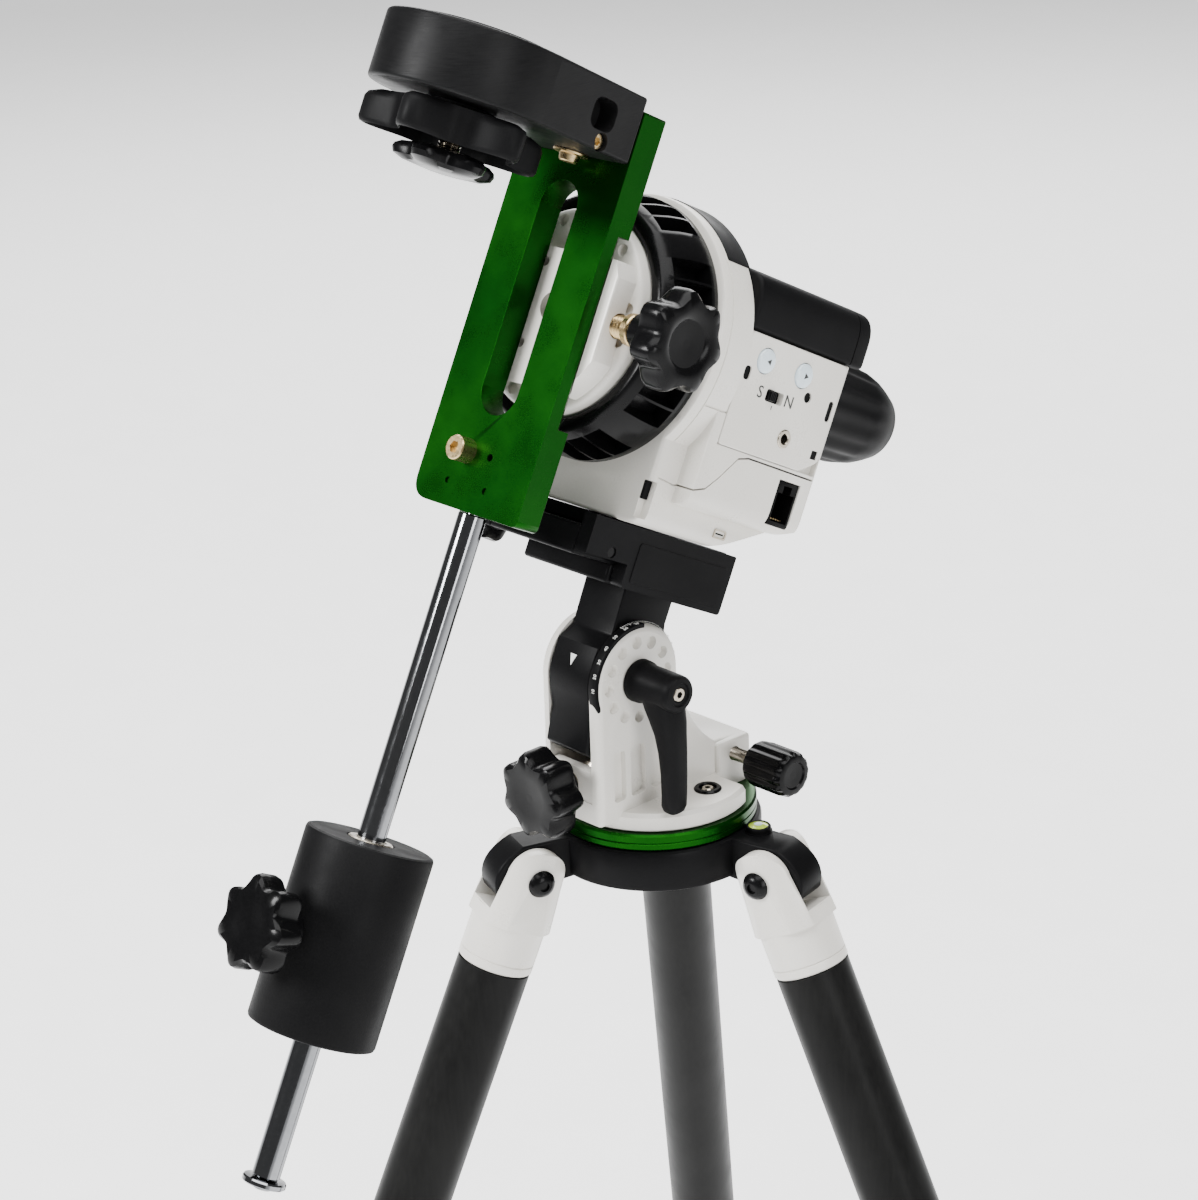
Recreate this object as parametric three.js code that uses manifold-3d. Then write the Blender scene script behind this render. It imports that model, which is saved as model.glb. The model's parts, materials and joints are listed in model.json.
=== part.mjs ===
// Portable equatorial mount on a folding tripod.
// Millimetres, +Z up. The pole is towards -Y and the operator's right hand is +X.
// Heights of the tripod and the base are counted from the leg hinge pins until the last lines,
// which move the model so that its origin is the centre of its own footprint on the ground.
import * as THREE from 'three';
import { mergeVertices } from 'three/addons/utils/BufferGeometryUtils.js';
import Module from 'manifold-3d';

const wasm = await Module();
wasm.setup();

// ---- driving dimensions -------------------------------------------------------------------
const GAP = 0.3;                       // clearance that touching parts keep
const rad = THREE.MathUtils.degToRad;

// tripod
const LEG_AZIMUTHS = [-108.7, 11.3, 131.3];
const HINGE_RADIUS = 63.8;             // hinge pin to the tripod's axis
const LEG_SPLAY = 22.8;                // degrees from vertical, legs open on their stops
const TUBE_R = 16.6;
const TUBE_WALL = 1.6;
const JOINT_BOTTOM = -45;              // down the leg, from the pin
const UPPER_TUBE_LENGTH = 470;
const LOWER_R = 13.6;
const LOWER_LENGTH = 450;
const LOWER_SHOWING = 36;              // lower tube left outside when it is pushed home
const HEAD_R = 47.2;
const HEAD_BOTTOM = -3.5;
const HEAD_TOP = 15;
const LUG_HALF = 8.6;
const FORK_HALF = 17;

// azimuth base
const RING_R = 45.2;
const RING_TOP = 23;
const PLATE_R = 42.5;
const PLATE_TOP = 31.5;
const CHEEK_INNER = 13;
const CHEEK_OUTER = 18;
const CHEEK_R = 24.5;
const PIVOT = new THREE.Vector3(0, -24.7, 90);
const PIVOT_R = 5;
const PEG_Y = 30.5;                    // azimuth peg, behind the tripod's axis
const PEG_R = 4;
const SCREW_Z = 38;
const WORM_Z = 45.3;
const WORM_R = 5.6;
const SECTOR_R = 38.8;

// polar head; the arm's own frame starts at the pivot, with Y down the polar axis
const LATITUDE = 27.2;
const AXIS_RISE = 138.5;               // polar axis above the pivot, square to it
const BRACKET_AHEAD = 105.7;           // bracket's middle plane in front of the pivot

// polar unit, from the point where the polar axis crosses the bracket
const HUB_R = 43.8;
const RING_IN = 45.1;
const DRUM_R = 59.5;
const DRUM_FRONT = 46.8;
const DRUM_BACK = 65.5;
const BODY_HALF = 56;
const BODY_BACK = 132;
const BODY_TOP = 16;
const BODY_BOTTOM = -75;
const WALL = 2.6;
const TOP_BOX_BACK = 141;
const TOP_BOX_TOP = 42;
const SPINDLE_R = 17;
const SPINDLE_BORE = 12.4;
const BAR_DEPTH = 6;
const PANEL = { front: 67, low: -33 };  // control panel on the right side

// bracket, counterweight and declination head
const BRACKET = { half: 32.4, thick: 12.7, low: -90.8, high: 83.2 };
const SLOT = { half: 10.8, low: -49.8, high: 50 };
const SHAFT_R = 6;
const SHAFT_LENGTH = 285.5;
const WEIGHT = { r: 27.4, length: 84, below: 139.8 };
const DEC = { ahead: 71.5, r: 38.8, low: 60.8, high: 88.6 };

// ---- materials ----------------------------------------------------------------------------
const finish = (color, roughness, metalness) =>
  new THREE.MeshStandardMaterial({ color, roughness, metalness });
const CREAM = finish(0xe6e1d8, 0.45, 0);
const BLACK = finish(0x17181a, 0.5, 0);
const GLOSS = finish(0x0f1012, 0.22, 0);
const GREEN = finish(0x1c6414, 0.35, 0.8);
const STEEL = finish(0xb9b6ae, 0.25, 1);
const TUBE = finish(0x2b2b2a, 0.4, 0.6);
const IRON = finish(0x1a1a1b, 0.6, 0.3);
const RUBBER = finish(0x1b1b1b, 0.85, 0);
const BUTTON = finish(0xc9dbe8, 0.3, 0);

// ---- small tools --------------------------------------------------------------------------
function toSolid(geometry) {
  const bare = geometry.clone();
  for (const name of Object.keys(bare.attributes)) {
    if (name !== 'position') bare.deleteAttribute(name);
  }
  const merged = mergeVertices(bare, 1e-4);
  return new wasm.Manifold(new wasm.Mesh({
    numProp: 3,
    vertProperties: new Float32Array(merged.attributes.position.array),
    triVerts: new Uint32Array(merged.index.array),
  }));
}

function toGeometry(solid) {
  const mesh = solid.getMesh();
  const geometry = new THREE.BufferGeometry();
  geometry.setAttribute('position', new THREE.BufferAttribute(mesh.vertProperties, 3));
  geometry.setIndex(new THREE.BufferAttribute(mesh.triVerts, 1));
  return geometry;
}

const combine = (verb, first, others) =>
  toGeometry(others.flat().reduce((sum, g) => sum[verb](toSolid(g)), toSolid(first)));
const cut = (first, ...others) => combine('subtract', first, others);
const join = (first, ...others) => combine('add', first, others);
const common = (first, ...others) => combine('intersect', first, others);

const box = (x0, x1, y0, y1, z0, z1) =>
  new THREE.BoxGeometry(x1 - x0, y1 - y0, z1 - z0)
    .translate((x0 + x1) / 2, (y0 + y1) / 2, (z0 + z1) / 2);

// Cylinder or cone from a to b along one axis, centred on the other two coordinates.
function rod(axis, r, a, b, { at = [0, 0], end = r, sides = 24, turn = 0 } = {}) {
  const g = new THREE.CylinderGeometry(end, r, b - a, sides).rotateY(turn)
    .translate(0, (a + b) / 2, 0);
  if (axis === 'x') return g.rotateZ(-Math.PI / 2).translate(0, at[0], at[1]);
  if (axis === 'z') return g.rotateX(Math.PI / 2).translate(at[0], at[1], 0);
  return g.translate(at[0], 0, at[1]);
}

const tube = (axis, outer, inner, a, b, options) =>
  cut(rod(axis, outer, a, b, options), rod(axis, inner, a - 1, b + 1, options));

// How an outline's (u, v) and the push along it become x, y and z. The one for y is a mirror.
const LAYOUT = {
  x: new THREE.Matrix4().set(0, 0, 1, 0, 1, 0, 0, 0, 0, 1, 0, 0, 0, 0, 0, 1),
  y: new THREE.Matrix4().set(1, 0, 0, 0, 0, 0, 1, 0, 0, 1, 0, 0, 0, 0, 0, 1),
  z: new THREE.Matrix4(),
};

// Outline in the plane across an axis, pushed from a to b along it.
// For x the outline is (y, z), for y it is (x, z) and for z it is (x, y).
function slab(axis, outline, a, b) {
  const shape = outline instanceof THREE.Shape
    ? outline : new THREE.Shape(outline.map(([u, v]) => new THREE.Vector2(u, v)));
  const g = new THREE.ExtrudeGeometry(shape, { depth: b - a, bevelEnabled: false, curveSegments: 8 });
  g.translate(0, 0, a).applyMatrix4(LAYOUT[axis]);
  return axis === 'y' ? flip(g) : g;
}

// Swap two corners of every face, after a mirror.
function flip(g) {
  const p = g.attributes.position.array;
  for (let i = 0; i < p.length; i += 9) {
    for (let k = 0; k < 3; k += 1) [p[i + 3 + k], p[i + 6 + k]] = [p[i + 6 + k], p[i + 3 + k]];
  }
  return g;
}

// Profile of [radius, height] points turned about Z, then laid along X or Y if asked.
function turned(points, sides = 24, axis = 'z') {
  const g = new THREE.LatheGeometry(points.map(([r, z]) => new THREE.Vector2(r, z)), sides);
  if (axis === 'x') return g.rotateZ(-Math.PI / 2);
  if (axis === 'z') return g.rotateX(Math.PI / 2);
  return g;
}

// Star-shaped grip: lobes round a hub, from a to b along an axis.
function starKnob(axis, r, lobes, a, b, { at = [0, 0], bore = 0, dip = 0.13 } = {}) {
  const steps = lobes * 4;
  const outline = [];
  for (let i = 0; i < steps; i += 1) {
    const angle = (2 * Math.PI * i) / steps;
    const reach = r * (1 - dip + dip * Math.cos(lobes * angle));
    outline.push([reach * Math.cos(angle) + at[0], reach * Math.sin(angle) + at[1]]);
  }
  const body = slab(axis, outline, a, b);
  return bore > 0 ? cut(body, rod(axis, bore, a - 1, b + 1, { at, sides: 20 })) : body;
}

const model = new THREE.Group();

function add(parent, name, geometry, material) {
  const mesh = new THREE.Mesh(geometry, material);
  mesh.name = name;
  parent.add(mesh);
  return mesh;
}

function frame(parent, position, rotation = [0, 0, 0]) {
  const group = new THREE.Group();
  group.position.set(...position);
  group.rotation.set(...rotation);
  parent.add(group);
  return group;
}

// ---- tripod -------------------------------------------------------------------------------
// Side view of one lug: x is outwards from the hinge pin, y is up.
function lugGeometry() {
  const side = new THREE.Shape();
  side.moveTo(-HINGE_RADIUS + 40, HEAD_BOTTOM);
  side.lineTo(-12, HEAD_BOTTOM - 2);
  side.absarc(0, 0, 12, rad(200), rad(300), false);
  side.lineTo(17.5, -6.5);
  side.quadraticCurveTo(21.5, 8, 4, HEAD_TOP);
  side.lineTo(-HINGE_RADIUS + 40, HEAD_TOP);
  const push = { depth: 2 * LUG_HALF, bevelEnabled: false, curveSegments: 8 };
  const lug = new THREE.ExtrudeGeometry(side, push);
  return lug.translate(HINGE_RADIUS, 0, -LUG_HALF).rotateX(Math.PI / 2);
}

const PIN_R = 4;

function tripodHead() {
  const lugs = LEG_AZIMUTHS.map((angle) => lugGeometry().rotateZ(rad(angle)));
  const bores = LEG_AZIMUTHS.map((angle) =>
    rod('y', PIN_R + GAP, -30, 30, { at: [HINGE_RADIUS, 0], sides: 20 }).rotateZ(rad(angle)));
  const disc = rod('z', HEAD_R, HEAD_BOTTOM, HEAD_TOP, { sides: 48 });
  const hollow = rod('z', 34, HEAD_BOTTOM - 1, 6, { sides: 32 });
  const boss = rod('z', 14, HEAD_BOTTOM, 7, { sides: 24 });
  const bore = rod('z', 5.4, -20, 30, { sides: 20 });
  return cut(join(cut(join(disc, lugs), hollow), boss), bores, bore);
}

function azimuthRing() {
  const peg = rod('z', PEG_R, RING_TOP - 1, SCREW_Z + 4, { at: [0, PEG_Y], sides: 20 });
  const body = rod('z', RING_R, HEAD_TOP + GAP, RING_TOP, { sides: 48 });
  return cut(join(body, peg), rod('z', 5.4, 0, 30, { sides: 20 }));
}

function centreBolt() {
  const head = rod('z', 9, HEAD_BOTTOM - 5, HEAD_BOTTOM - GAP, { sides: 6 });
  return join(head, rod('z', 5, HEAD_BOTTOM - 1, PLATE_TOP - 3, { sides: 20 }));
}

function legPin() {
  const half = FORK_HALF + GAP;
  const profile = [[0, -half - 3.4], [4, -half - 2.6], [6.3, -half], [PIN_R, -half], [PIN_R, half],
    [6.3, half], [4, half + 2.6], [0, half + 3.4]];
  return turned(profile, 12, 'y');
}

function legJoint() {
  const cheek = new THREE.Shape();
  cheek.moveTo(-FORK_HALF, -22);
  cheek.lineTo(FORK_HALF, -22);
  cheek.lineTo(13.6, -3);
  cheek.absarc(0, 0, 13.6, 0, Math.PI, false);
  cheek.lineTo(-13.6, -3);
  const fork = slab('y', cheek, -FORK_HALF, FORK_HALF);
  const barrel = rod('z', FORK_HALF, JOINT_BOTTOM, -16.6, { sides: 20 });
  const inner = TUBE_R - TUBE_WALL - 2 * GAP;
  const spigot = rod('z', inner, JOINT_BOTTOM - 24, JOINT_BOTTOM + 2, { sides: 16 });
  const round = rod('z', FORK_HALF + 2.4, -30, 20, { end: FORK_HALF - 1, sides: 16 });
  const slot = box(-30, 30, -LUG_HALF - GAP, LUG_HALF + GAP, -17.5, 30);
  const bore = rod('y', PIN_R + GAP, -30, 30, { sides: 20 });
  return cut(join(common(fork, round), barrel, spigot), slot, bore);
}

const TUBE_TOP = JOINT_BOTTOM - GAP;
const TUBE_BOTTOM = TUBE_TOP - UPPER_TUBE_LENGTH;
const COLLAR_LENGTH = 34;
const COLLAR_BOTTOM = TUBE_BOTTOM - 7;
const LOWER_BOTTOM = COLLAR_BOTTOM - LOWER_SHOWING;
const FOOT_LENGTH = 30;

function legCollar() {
  const bore = LOWER_R + 0.5;
  const top = COLLAR_BOTTOM + COLLAR_LENGTH;
  return turned([[bore, COLLAR_BOTTOM], [TUBE_R + 2, COLLAR_BOTTOM], [TUBE_R + 4, COLLAR_BOTTOM + 3],
    [TUBE_R + 3.4, top], [TUBE_R + GAP, top], [TUBE_R + GAP, TUBE_BOTTOM - GAP],
    [bore, TUBE_BOTTOM - GAP], [bore, COLLAR_BOTTOM]]);
}

// The foot's sole is cut level with the ground when the leg stands on its stop.
function rubberFoot() {
  const top = LOWER_BOTTOM + 16;
  const cap = rod('z', 15, LOWER_BOTTOM - 12, top, { end: LOWER_R + 2.4, sides: 20 });
  const ball = new THREE.SphereGeometry(17, 12, 6).translate(0, 0, LOWER_BOTTOM - 12);
  const level = new THREE.BoxGeometry(90, 90, 60).translate(0, 0, -30).rotateY(rad(LEG_SPLAY))
    .translate(0, 0, LOWER_BOTTOM - 20);
  const socket = rod('z', LOWER_R + 0.15, LOWER_BOTTOM - 0.2, top + 1);
  return cut(join(cap, ball), level, socket);
}

function buildTripod(parent) {
  add(parent, 'tripod_head', tripodHead(), BLACK);
  add(parent, 'azimuth_ring', azimuthRing(), GREEN);
  add(parent, 'centre_bolt', centreBolt(), STEEL);
  LEG_AZIMUTHS.forEach((azimuth, i) => {
    const angle = rad(azimuth);
    const pin = [HINGE_RADIUS * Math.cos(angle), HINGE_RADIUS * Math.sin(angle), 0];
    const root = frame(parent, pin, [0, 0, angle]);
    const leg = frame(root, [0, 0, 0], [0, -rad(LEG_SPLAY), 0]);
    const n = i + 1;
    add(leg, `leg_pin_${n}`, legPin(), GLOSS);
    add(leg, `leg_joint_${n}`, legJoint(), CREAM);
    add(leg, `upper_tube_${n}`, tube('z', TUBE_R, TUBE_R - TUBE_WALL, TUBE_BOTTOM, TUBE_TOP), TUBE);
    add(leg, `leg_collar_${n}`, legCollar(), BLACK);
    add(leg, `lower_tube_${n}`,
      tube('z', LOWER_R, LOWER_R - 1.4, LOWER_BOTTOM, LOWER_BOTTOM + LOWER_LENGTH), TUBE);
    add(leg, `rubber_foot_${n}`, rubberFoot(), RUBBER);
  });
}

// ---- azimuth base -------------------------------------------------------------------------
function baseCasting() {
  const back = 41;
  const side = new THREE.Shape();      // (y, z) of the two cheeks and the web behind them
  side.moveTo(-50, PLATE_TOP - 4);
  side.lineTo(PIVOT.y - CHEEK_R, PIVOT.z - 6);
  side.absarc(PIVOT.y, PIVOT.z, CHEEK_R, Math.PI, 0, true);
  side.lineTo(PIVOT.y + CHEEK_R, PIVOT.z - 8);
  side.quadraticCurveTo(8, 56, 22, 46);
  side.lineTo(back, 45);
  side.lineTo(back, PLATE_TOP - 4);
  const cheeks = slab('x', side, -CHEEK_OUTER, CHEEK_OUTER);
  const plate = cut(rod('z', PLATE_R, RING_TOP + GAP, PLATE_TOP, { sides: 64 }),
    [-1, 1].map((s) => box(Math.min(s * 20, s * 60), Math.max(s * 20, s * 60), 18.5, 60, 0, 60)));
  const boss = box(-20, 20, 20, back, RING_TOP + GAP, 45);
  const well = box(-CHEEK_INNER, CHEEK_INNER, -60, 12, 38, 130);
  const front = box(-CHEEK_INNER - 1, CHEEK_INNER + 1, -49.5, -44.5, 30, 53);
  const pegRoom = box(-12, 12, PEG_Y - 6.5, PEG_Y + 6.5, 0, SCREW_Z + 5);
  const hinge = [PIVOT.y, PIVOT.z];
  const sweep = rod('x', SECTOR_R + 1, -CHEEK_INNER, CHEEK_INNER, { at: hinge, sides: 48 });
  const wormBore = rod('y', 4 + GAP, -60, 10, { at: [0, WORM_Z], sides: 20 });
  const wormWay = box(-WORM_R - 1, WORM_R + 1, -44.5, 8, 38.2, 52);
  const screwBore = rod('x', 3 + GAP, -60, 60, { at: [PEG_Y, SCREW_Z], sides: 20 });
  const pivotBore = rod('x', PIVOT_R + GAP, -60, 60, { at: hinge, sides: 24 });
  const boltBore = rod('z', 5.4, 0, PLATE_TOP - 2, { sides: 20 });
  const body = join(cut(join(plate, boss, cheeks), well), front);
  return cut(body, sweep, wormWay, wormBore, pegRoom, screwBore, pivotBore, boltBore);
}

function azimuthScrew(sign) {
  const tip = PEG_R + GAP;
  const end = 40;
  return rod('x', 3, Math.min(sign * tip, sign * end), Math.max(sign * tip, sign * end),
    { at: [PEG_Y, SCREW_Z], sides: 16 });
}

function azimuthKnob(sign) {
  const [a, b] = sign > 0 ? [34, 57] : [-57, -34];
  const grip = starKnob('x', 10.6, 12, a, b, { at: [PEG_Y, SCREW_Z], dip: 0.05 });
  const [c, d] = sign > 0 ? [33, 40 + GAP] : [-40 - GAP, -33];
  return cut(grip, rod('x', 3 + GAP, c, d, { at: [PEG_Y, SCREW_Z], sides: 16 }));
}

const KNOB_FRONT = -75;
const KNOB_BACK = -53;

function altitudeWorm() {
  const shaft = rod('y', 4, KNOB_FRONT + 8, 6, { at: [0, WORM_Z], sides: 20 });
  const thread = rod('y', WORM_R, -40, 2, { at: [0, WORM_Z], sides: 24 });
  return join(shaft, thread);
}

function altitudeKnob() {
  const star = starKnob('y', 20, 7, KNOB_FRONT, KNOB_BACK - 6, { at: [0, WORM_Z] });
  const neck = rod('y', 9, KNOB_BACK - 7, KNOB_BACK, { at: [0, WORM_Z], sides: 24 });
  const bore = rod('y', 4 + GAP, KNOB_FRONT + 8 - GAP, 0, { at: [0, WORM_Z], sides: 20 });
  return cut(join(star, neck), bore);
}

function pivotBolt() {
  const at = [PIVOT.y, PIVOT.z];
  const head = rod('x', 9, -CHEEK_OUTER - 6, -CHEEK_OUTER - GAP, { at, sides: 6 });
  return join(head, rod('x', PIVOT_R, -CHEEK_OUTER - 1, CHEEK_OUTER + 14, { at, sides: 24 }));
}

function clampLever() {
  const near = CHEEK_OUTER + GAP;
  const far = CHEEK_OUTER + 26;
  const at = [PIVOT.y, PIVOT.z];
  const hub = rod('x', 9.6, near, far, { at, end: 8.2, sides: 28 });
  const handle = slab('x', [[-8, 2], [8, 2], [7, -30], [5.6, -50], [-5.6, -50], [-7, -30]]
    .map(([y, z]) => [y + PIVOT.y, z + PIVOT.z]), far - 11, far - 1);
  const end = rod('x', 5.6, far - 11, far - 1, { at: [PIVOT.y, PIVOT.z - 50], sides: 20 });
  const bore = rod('x', PIVOT_R + GAP, near - 1, CHEEK_OUTER + 14 + GAP, { at, sides: 24 });
  return cut(join(hub, handle, end), bore);
}

function buildBase(parent) {
  add(parent, 'base_casting', baseCasting(), CREAM);
  for (const [side, sign] of [['left', -1], ['right', 1]]) {
    add(parent, `azimuth_screw_${side}`, azimuthScrew(sign), STEEL);
    add(parent, `azimuth_knob_${side}`, azimuthKnob(sign), GLOSS);
  }
  add(parent, 'altitude_worm', altitudeWorm(), STEEL);
  add(parent, 'altitude_knob', altitudeKnob(), GLOSS);
  add(parent, 'pivot_bolt', pivotBolt(), STEEL);
  add(parent, 'clamp_lever', clampLever(), BLACK);
}

// ---- altitude arm; origin at the pivot ----------------------------------------------------
const ARM_HALF = CHEEK_INNER - GAP - 0.2;
const SADDLE_BOTTOM = AXIS_RISE + BODY_BOTTOM - BAR_DEPTH - 21;
const BAR_BOTTOM = AXIS_RISE + BODY_BOTTOM - BAR_DEPTH;
const SADDLE_FRONT = -70;
const SADDLE_BACK = 14;
const JAW_IN = 26;
const JAW_OUT = 33;
const SADDLE_SCREW = [SADDLE_FRONT + 15, BAR_BOTTOM - 8];

function altitudeArm() {
  const side = new THREE.Shape();      // (y, z): column, then the worm sector below the pivot
  side.moveTo(-19, SADDLE_BOTTOM + 1);
  side.lineTo(-18, 15);
  side.lineTo(-24, 8);
  side.lineTo(-24, -6);
  side.lineTo(-12, -30);
  side.absarc(0, 0, SECTOR_R, rad(-108), rad(-8), false);
  side.absarc(0, 0, 27, rad(-8), rad(60), false);
  side.lineTo(12, SADDLE_BOTTOM + 1);
  const column = slab('x', side, -ARM_HALF, ARM_HALF);
  const base = box(-26, JAW_IN - GAP, SADDLE_FRONT + 24, SADDLE_BACK, SADDLE_BOTTOM, SADDLE_BOTTOM + 9);
  const table = box(-26, JAW_IN - GAP, SADDLE_FRONT, SADDLE_BACK, SADDLE_BOTTOM + 8, BAR_BOTTOM - GAP);
  const wall = box(-33, -25.8, SADDLE_FRONT, SADDLE_BACK, SADDLE_BOTTOM + 8, BAR_BOTTOM + BAR_DEPTH - 0.6);
  const bore = rod('x', PIVOT_R + GAP, -60, 60, { at: [0, 0], sides: 24 });
  const knobBore = rod('x', 3 + GAP, -60, 60, { at: SADDLE_SCREW, sides: 16 });
  return cut(join(column, base, table, wall), bore, knobBore);
}

function saddleJaw() {
  const plate = box(JAW_IN, JAW_OUT, -44, 20, SADDLE_BOTTOM, BAR_BOTTOM + BAR_DEPTH - 0.6);
  const lip = box(JAW_IN, JAW_OUT, SADDLE_FRONT, 20, BAR_BOTTOM - 11, BAR_BOTTOM + BAR_DEPTH - 0.6);
  const bore = rod('x', 3 + GAP, -60, 60, { at: SADDLE_SCREW, sides: 16 });
  return cut(join(plate, lip), bore);
}

function saddleKnob() {
  const at = SADDLE_SCREW;
  const star = starKnob('x', 13, 6, -52, -38, { at });
  const screw = rod('x', 3, -40, JAW_OUT + 2, { at, sides: 16 });
  return join(star, screw);
}

function dovetailBar() {
  const half = 24.5;
  return slab('y', [[-half, BAR_BOTTOM], [half, BAR_BOTTOM], [half + 1, BAR_BOTTOM + BAR_DEPTH - GAP],
    [-half - 1, BAR_BOTTOM + BAR_DEPTH - GAP]], SADDLE_FRONT + 12, 22);
}

function buildArm(parent) {
  add(parent, 'altitude_arm', altitudeArm(), BLACK);
  add(parent, 'saddle_jaw', saddleJaw(), BLACK);
  add(parent, 'saddle_knob', saddleKnob(), GLOSS);
  add(parent, 'dovetail_bar', dovetailBar(), BLACK);
}

// ---- polar unit; origin where the polar axis crosses the bracket --------------------------
function housing() {
  const drum = rod('y', DRUM_R, DRUM_FRONT, DRUM_BACK, { sides: 48 });
  const lower = box(-46, 46, DRUM_FRONT, BODY_BACK, BODY_BOTTOM, -20);
  const rear = box(-BODY_HALF, BODY_HALF, DRUM_BACK - 4, BODY_BACK, -62, BODY_TOP);
  const slope = slab('x', [[95, BODY_BOTTOM - 20], [95, BODY_BOTTOM], [BODY_BACK, -58],
    [BODY_BACK + 20, -50], [BODY_BACK + 20, -95]], -80, 80);
  const shell = cut(join(drum, lower, rear), slope);
  const inner = join(
    rod('y', DRUM_R - WALL, DRUM_FRONT + WALL, DRUM_BACK, { sides: 48 }),
    box(-46 + WALL, 46 - WALL, DRUM_FRONT + WALL, BODY_BACK - 6, BODY_BOTTOM + WALL, -20),
    box(-BODY_HALF + WALL, BODY_HALF - WALL, DRUM_BACK - 4, BODY_BACK - WALL, -50, BODY_TOP + 5));
  const slopeInner = slab('x', [[80, BODY_BOTTOM - 30], [92, BODY_BOTTOM + WALL], [BODY_BACK + 4, -55],
    [BODY_BACK + 20, -95]], -80, 80);
  const topOpening = box(-BODY_HALF + WALL, BODY_HALF - WALL, DRUM_BACK + 3, BODY_BACK - WALL, 0, 40);
  const frontBore = rod('y', SPINDLE_R + 1, 0, DRUM_BACK + 10, { sides: 32 });
  const rearBore = rod('y', SPINDLE_R + 1, 100, 200, { sides: 32 });
  const coverSeat = box(BODY_HALF - WALL - GAP, BODY_HALF + 2, PANEL.front - GAP, BODY_BACK - 1,
    PANEL.low - GAP, BODY_TOP + 1);
  const port = box(BODY_HALF - 12, BODY_HALF + 4, 111, 125, -58.4, -38.6);
  return cut(shell, cut(inner, slopeInner), topOpening, frontBore, rearBore, coverSeat, port);
}

const BUTTON_SPOTS = { front: [80, 5.7], rear: [105, 5.5] };

function sideCover() {
  const x0 = BODY_HALF - WALL;
  const x1 = BODY_HALF + 0.4;
  const plate = box(x0, x1, PANEL.front, BODY_BACK - 1 - GAP, PANEL.low, BODY_TOP - GAP);
  const holes = Object.values(BUTTON_SPOTS).map((at) => rod('x', 5.6, 40, 70, { at, sides: 20 }));
  const slotHole = box(40, 70, 86, 97, -9.8, -4.6);
  const jack = rod('x', 2.2, 40, 70, { at: [105, -22.2], sides: 16 });
  return cut(plate, holes, slotHole, jack);
}

const DATE_RING_R = 31;

function batteryCover() {
  const r = 9;
  const half = BODY_HALF;
  const top = TOP_BOX_TOP;
  const outline = new THREE.Shape();   // (x, z)
  outline.moveTo(-half, BODY_TOP + GAP);
  outline.lineTo(half, BODY_TOP + GAP);
  outline.lineTo(half, top - r - 6);
  outline.quadraticCurveTo(half, top - 3, half - r, top - 2);
  outline.quadraticCurveTo(0, top + 5, -half + r, top - 2);
  outline.quadraticCurveTo(-half, top - 3, -half, top - r - 6);
  const block = slab('y', outline, DRUM_BACK + GAP, TOP_BOX_BACK);
  const room = box(-half + WALL, half - WALL, DRUM_BACK + 3, BODY_BACK - WALL, 0, top - 6);
  const arch = rod('y', DATE_RING_R + 1.5, BODY_BACK - WALL - 1, 200);
  const spindleWay = rod('y', SPINDLE_R + 1, 0, 80);
  return cut(block, room, arch, spindleWay);
}

function slewButton([y, z]) {
  const x = BODY_HALF + 0.4;
  const profile = [[0, x - 6], [6.6, x - 6], [6.6, x - 4.4], [5.2, x - 4.4], [5.2, x + 0.6],
    [3.4, x + 1.5], [0, x + 1.9]];
  return turned(profile, 16, 'x').translate(0, y, z);
}

function hemisphereSwitch() {
  const x = BODY_HALF + 0.4;
  return join(box(x - 4.6, x + 1.4, 86.6, 91.4, -9.4, -5), box(x - 5.6, x - 3.6, 84, 98.8, -11, -3.4));
}

function guidePort() {
  const block = box(BODY_HALF - 11.6, BODY_HALF - 0.6, 111.4, 124.6, -58, -39);
  return cut(block, box(BODY_HALF - 9.6, BODY_HALF + 4, 113, 123, -56.4, -40.6));
}

function dateRing() {
  const grip = starKnob('y', DATE_RING_R, 24, BODY_BACK + GAP, BODY_BACK + 8, { dip: 0.02 });
  return cut(grip, rod('y', SPINDLE_BORE + 4, 100, 200, { sides: 32 }));
}

const EYEPIECE_FRONT = BODY_BACK + 8 + GAP;
const EYEPIECE_WAIST = 203;            // the eyecup starts to narrow here
const EYEPIECE_BACK = 222;

function eyepieceRing() {
  const body = turned([[0, EYEPIECE_FRONT], [24, EYEPIECE_FRONT], [25, EYEPIECE_FRONT + 4],
    [22, EYEPIECE_WAIST], [15.5, EYEPIECE_BACK], [0, EYEPIECE_BACK]], 32, 'y');
  return cut(body, rod('y', SPINDLE_BORE + GAP, 100, EYEPIECE_BACK + 5, { sides: 32 }));
}

function polarScope() {
  const outer = SPINDLE_BORE - GAP;
  const end = EYEPIECE_BACK - 3;
  const eyeTube = turned([[0, 20], [outer, 20], [outer, end], [0, end]], 24, 'y');
  const bore = turned([[0, 10], [10, 10], [10, 60], [7, 66], [7, EYEPIECE_BACK],
    [0, EYEPIECE_BACK]], 16, 'y');
  return cut(eyeTube, bore);
}

function stepperMotor() {
  return join(box(-40, -12, 84, 112, -46, -24), rod('y', 3, 79, 85, { at: [-26, -35], sides: 12 }));
}

const WHEEL_R = 32;
const WHEEL_Y = [70, 78];

function raWorm() {
  const z = -WHEEL_R - 5.4;
  const middle = (WHEEL_Y[0] + WHEEL_Y[1]) / 2;
  const at = [middle, z];
  return join(rod('x', 5, 8, 30, { at, sides: 20 }), rod('x', 2.4, -2, 40, { at, sides: 16 }));
}

function raSpindle() {
  const [near, far] = WHEEL_Y;
  const profile = [[SPINDLE_BORE, 24], [SPINDLE_R, 24], [SPINDLE_R, near], [WHEEL_R, near],
    [WHEEL_R, far], [SPINDLE_R, far], [SPINDLE_R, 112], [SPINDLE_BORE, 112], [SPINDLE_BORE, 24]];
  return turned(profile, 32, 'y');
}

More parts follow.
